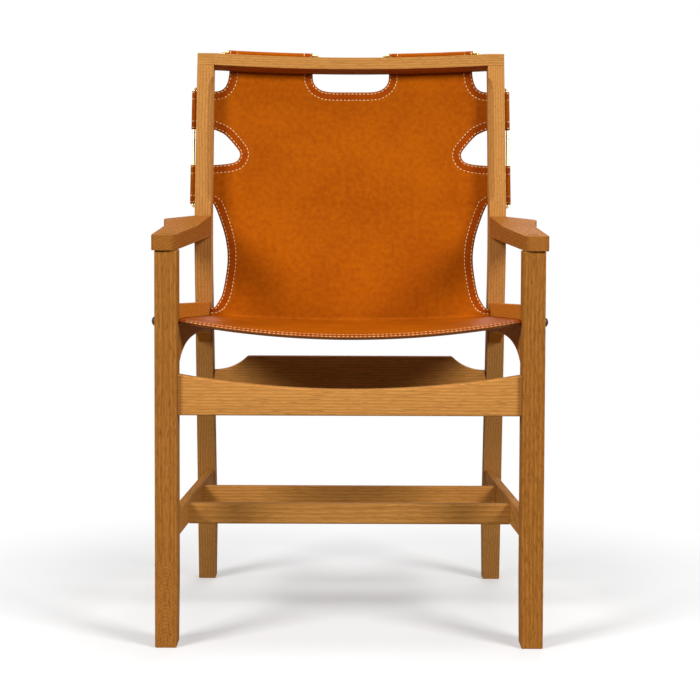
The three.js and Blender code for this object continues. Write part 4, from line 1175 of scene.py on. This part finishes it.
class ARMCHAIR_OT_rods(bpy.types.Operator):
    """Make the brass rods that the hems wrap"""

    bl_idname = "armchair.rods"
    bl_label = "Brass rods"

    def execute(self, context):
        settings = context.scene.armchair_metal
        patina()
        metal("brass", tinted(settings.brass), tinted(settings.patina))
        for side, sign in SIDES:
            for rod, points in (
                    ("side", self.side_rod()), ("top", self.top_rod()), ("seat", self.seat_rod())):
                self.rod(f"{rod}_rod_{side}", points, sign)
        return {"FINISHED"}

    @staticmethod
    def corner(start, at, end, steps=7):
        first = at + (start - at).normalized() * ROD_BEND
        last = at + (end - at).normalized() * ROD_BEND
        return [curve(first, at, last, step / steps) for step in range(steps + 1)]

    def staple(self, near, near_corner, between, far_corner, far):
        first = between[0] if between else far_corner
        last = between[-1] if between else near_corner
        return [near, *self.corner(near, near_corner, first), *between,
                *self.corner(last, far_corner, far), far]

    def side_rod(self):
        bottom, top = LOWER_FLAP[0] - ROD_END_MARGIN, UPPER_FLAP[1] + ROD_END_MARGIN
        place = lambda out, height: Vector((REAR_OUTER + out, side_rod_line(height), height))
        return self.staple(place(-ROD_SINK, bottom), place(ROD_STANDOFF, bottom), [],
                           place(ROD_STANDOFF, top), place(-ROD_SINK, top))

    def top_rod(self):
        line = lambda across: crest_bend(across) + CREST_HIDE_BACK - TOP_ROD_INSET
        place = lambda across, up: in_crest_frame(across, line(across), CREST_THICKNESS + up)
        inner = TOP_FLAP[0] - ROD_END_MARGIN - ROD_BEND
        outer = TOP_FLAP[1] + ROD_END_MARGIN + ROD_BEND
        between = [place(mix(TOP_FLAP[0], TOP_FLAP[1], step / 16), ROD_STANDOFF) for step in range(17)]
        return self.staple(place(inner, -ROD_SINK), place(inner, ROD_STANDOFF), between,
                           place(outer, ROD_STANDOFF), place(outer, -ROD_SINK))

    @staticmethod
    def seat_rod():
        return [Vector((rail_inner(at) + RAIL_THICKNESS + ROD_STANDOFF, at, slot_line(at) - LOOP_RADIUS))
                for at in (SLOT_FRONT, SLOT_REAR)]

    @staticmethod
    def rod(name, points, sign, sides=16):
        mesh = bmesh.new()
        start = placed(points[0])
        toward = (placed(points[1]) - start).normalized()
        turn = toward.to_track_quat("Z", "Y")
        made = bmesh.ops.create_circle(
            mesh, cap_ends=True, segments=sides, radius=ROD_RADIUS * MM,
            matrix=Matrix.Translation(start) @ turn.to_matrix().to_4x4())
        face = made["verts"][0].link_faces[0]
        for at in range(1, len(points)):
            here = placed(points[at])
            behind = placed(points[at - 1])
            heading = (here - behind).normalized()
            if at + 1 < len(points):
                heading = ((placed(points[at + 1]) - here).normalized() + heading).normalized()
            grown = bmesh.ops.extrude_face_region(mesh, geom=[face])
            new = [item for item in grown["geom"] if isinstance(item, bmesh.types.BMVert)]
            bend = toward.rotation_difference(heading).to_matrix().to_4x4()
            bmesh.ops.transform(
                mesh, verts=new, matrix=Matrix.Translation(here) @ bend @ Matrix.Translation(-behind))
            old, face = face, next(item for item in grown["geom"] if isinstance(item, bmesh.types.BMFace))
            if at > 1:
                bmesh.ops.delete(mesh, geom=[old], context="FACES_ONLY")
            toward = heading
        if sign < 0:
            bmesh.ops.scale(mesh, vec=(-1, 1, 1), verts=mesh.verts)
        bmesh.ops.recalc_face_normals(mesh, faces=mesh.faces)
        finished(f"{name}_brass", mesh, ["brass"], METAL_SMOOTH, [name])


class ARMCHAIR_OT_bolts(bpy.types.Operator):
    """Make the domed bolts in the front legs"""

    bl_idname = "armchair.bolts"
    bl_label = "Bolts"

    def execute(self, context):
        settings = context.scene.armchair_metal
        metal("bronze", tinted(settings.bronze), tinted(settings.bronze, (0.4, 0.4, 0.4)))
        # The shank, the head's rim and then its dome, as distances out and along
        radius, base, rise, steps = 7.0, 1.5, 4.6, 10
        dome = [(0.0, -30.0), (3.0, -30.0), (3.0, 0.3), (7.2, 0.3), (7.4, 0.8), (7.2, base)]
        dome += [(radius * math.cos(turn), base + rise * math.sin(turn)) for turn in (
            math.pi / 2 * step / steps for step in range(1, steps))] + [(0.0, base + rise)]
        for side, sign in SIDES:
            mesh = bmesh.new()
            verts = [mesh.verts.new((out * MM, 0, along * MM)) for out, along in dome]
            edges = [mesh.edges.new(pair) for pair in zip(verts, verts[1:])]
            bmesh.ops.spin(mesh, geom=verts + edges, cent=(0, 0, 0), axis=(0, 0, 1), dvec=(0, 0, 0),
                           angle=2 * math.pi, steps=settings.sides, use_merge=True, use_duplicate=False)
            bmesh.ops.remove_doubles(mesh, verts=mesh.verts, dist=1e-6)
            bmesh.ops.recalc_face_normals(mesh, faces=mesh.faces)
            place = placed((sign * FRONT_OUTER, BOLT_SETBACK, BOLT_HEIGHT))
            turn = Matrix.Rotation(sign * math.pi / 2, 4, "Y")
            bmesh.ops.transform(mesh, verts=mesh.verts, matrix=Matrix.Translation(place) @ turn)
            finished(f"rail_bolt_{side}_bronze", mesh, ["bronze"], METAL_SMOOTH,
                     [f"rail_bolt_{side}"])
        return {"FINISHED"}


class ARMCHAIR_PT_panel(bpy.types.Panel):
    """The sidebar's list of the chair's pieces and sizes"""

    bl_idname = "ARMCHAIR_PT_panel"
    bl_label = "Armchair"
    bl_space_type = "VIEW_3D"
    bl_region_type = "UI"
    bl_category = "Armchair"

    def draw(self, context):
        for group in SETTINGS:
            settings = getattr(context.scene, group)
            box = self.layout.box()
            for name in settings.__annotations__:
                box.prop(settings, name)
        for operator in OPERATORS:
            self.layout.operator(operator.bl_idname)


SETTINGS = {
    "armchair_oak": OakSettings, "armchair_hide": HideSettings,
    "armchair_metal": MetalSettings, "armchair_stage": StageSettings,
}
OPERATORS = (ARMCHAIR_OT_stage, ARMCHAIR_OT_oak, ARMCHAIR_OT_rods, ARMCHAIR_OT_hide,
             ARMCHAIR_OT_stitching, ARMCHAIR_OT_bolts)


def register():
    for name, settings in SETTINGS.items():
        bpy.utils.register_class(settings)
        setattr(bpy.types.Scene, name, PointerProperty(type=settings))
    for operator in OPERATORS:
        bpy.utils.register_class(operator)
    bpy.utils.register_class(ARMCHAIR_PT_panel)


def unregister():
    bpy.utils.unregister_class(ARMCHAIR_PT_panel)
    for operator in reversed(OPERATORS):
        bpy.utils.unregister_class(operator)
    for name, settings in SETTINGS.items():
        delattr(bpy.types.Scene, name)
        bpy.utils.unregister_class(settings)


def main():
    register()
    bpy.ops.armchair.stage()
    bpy.ops.armchair.oak()
    bpy.ops.armchair.rods()
    bpy.ops.armchair.hide()
    bpy.ops.armchair.stitching()
    bpy.ops.armchair.bolts()


if __name__ == "__main__":
    main()
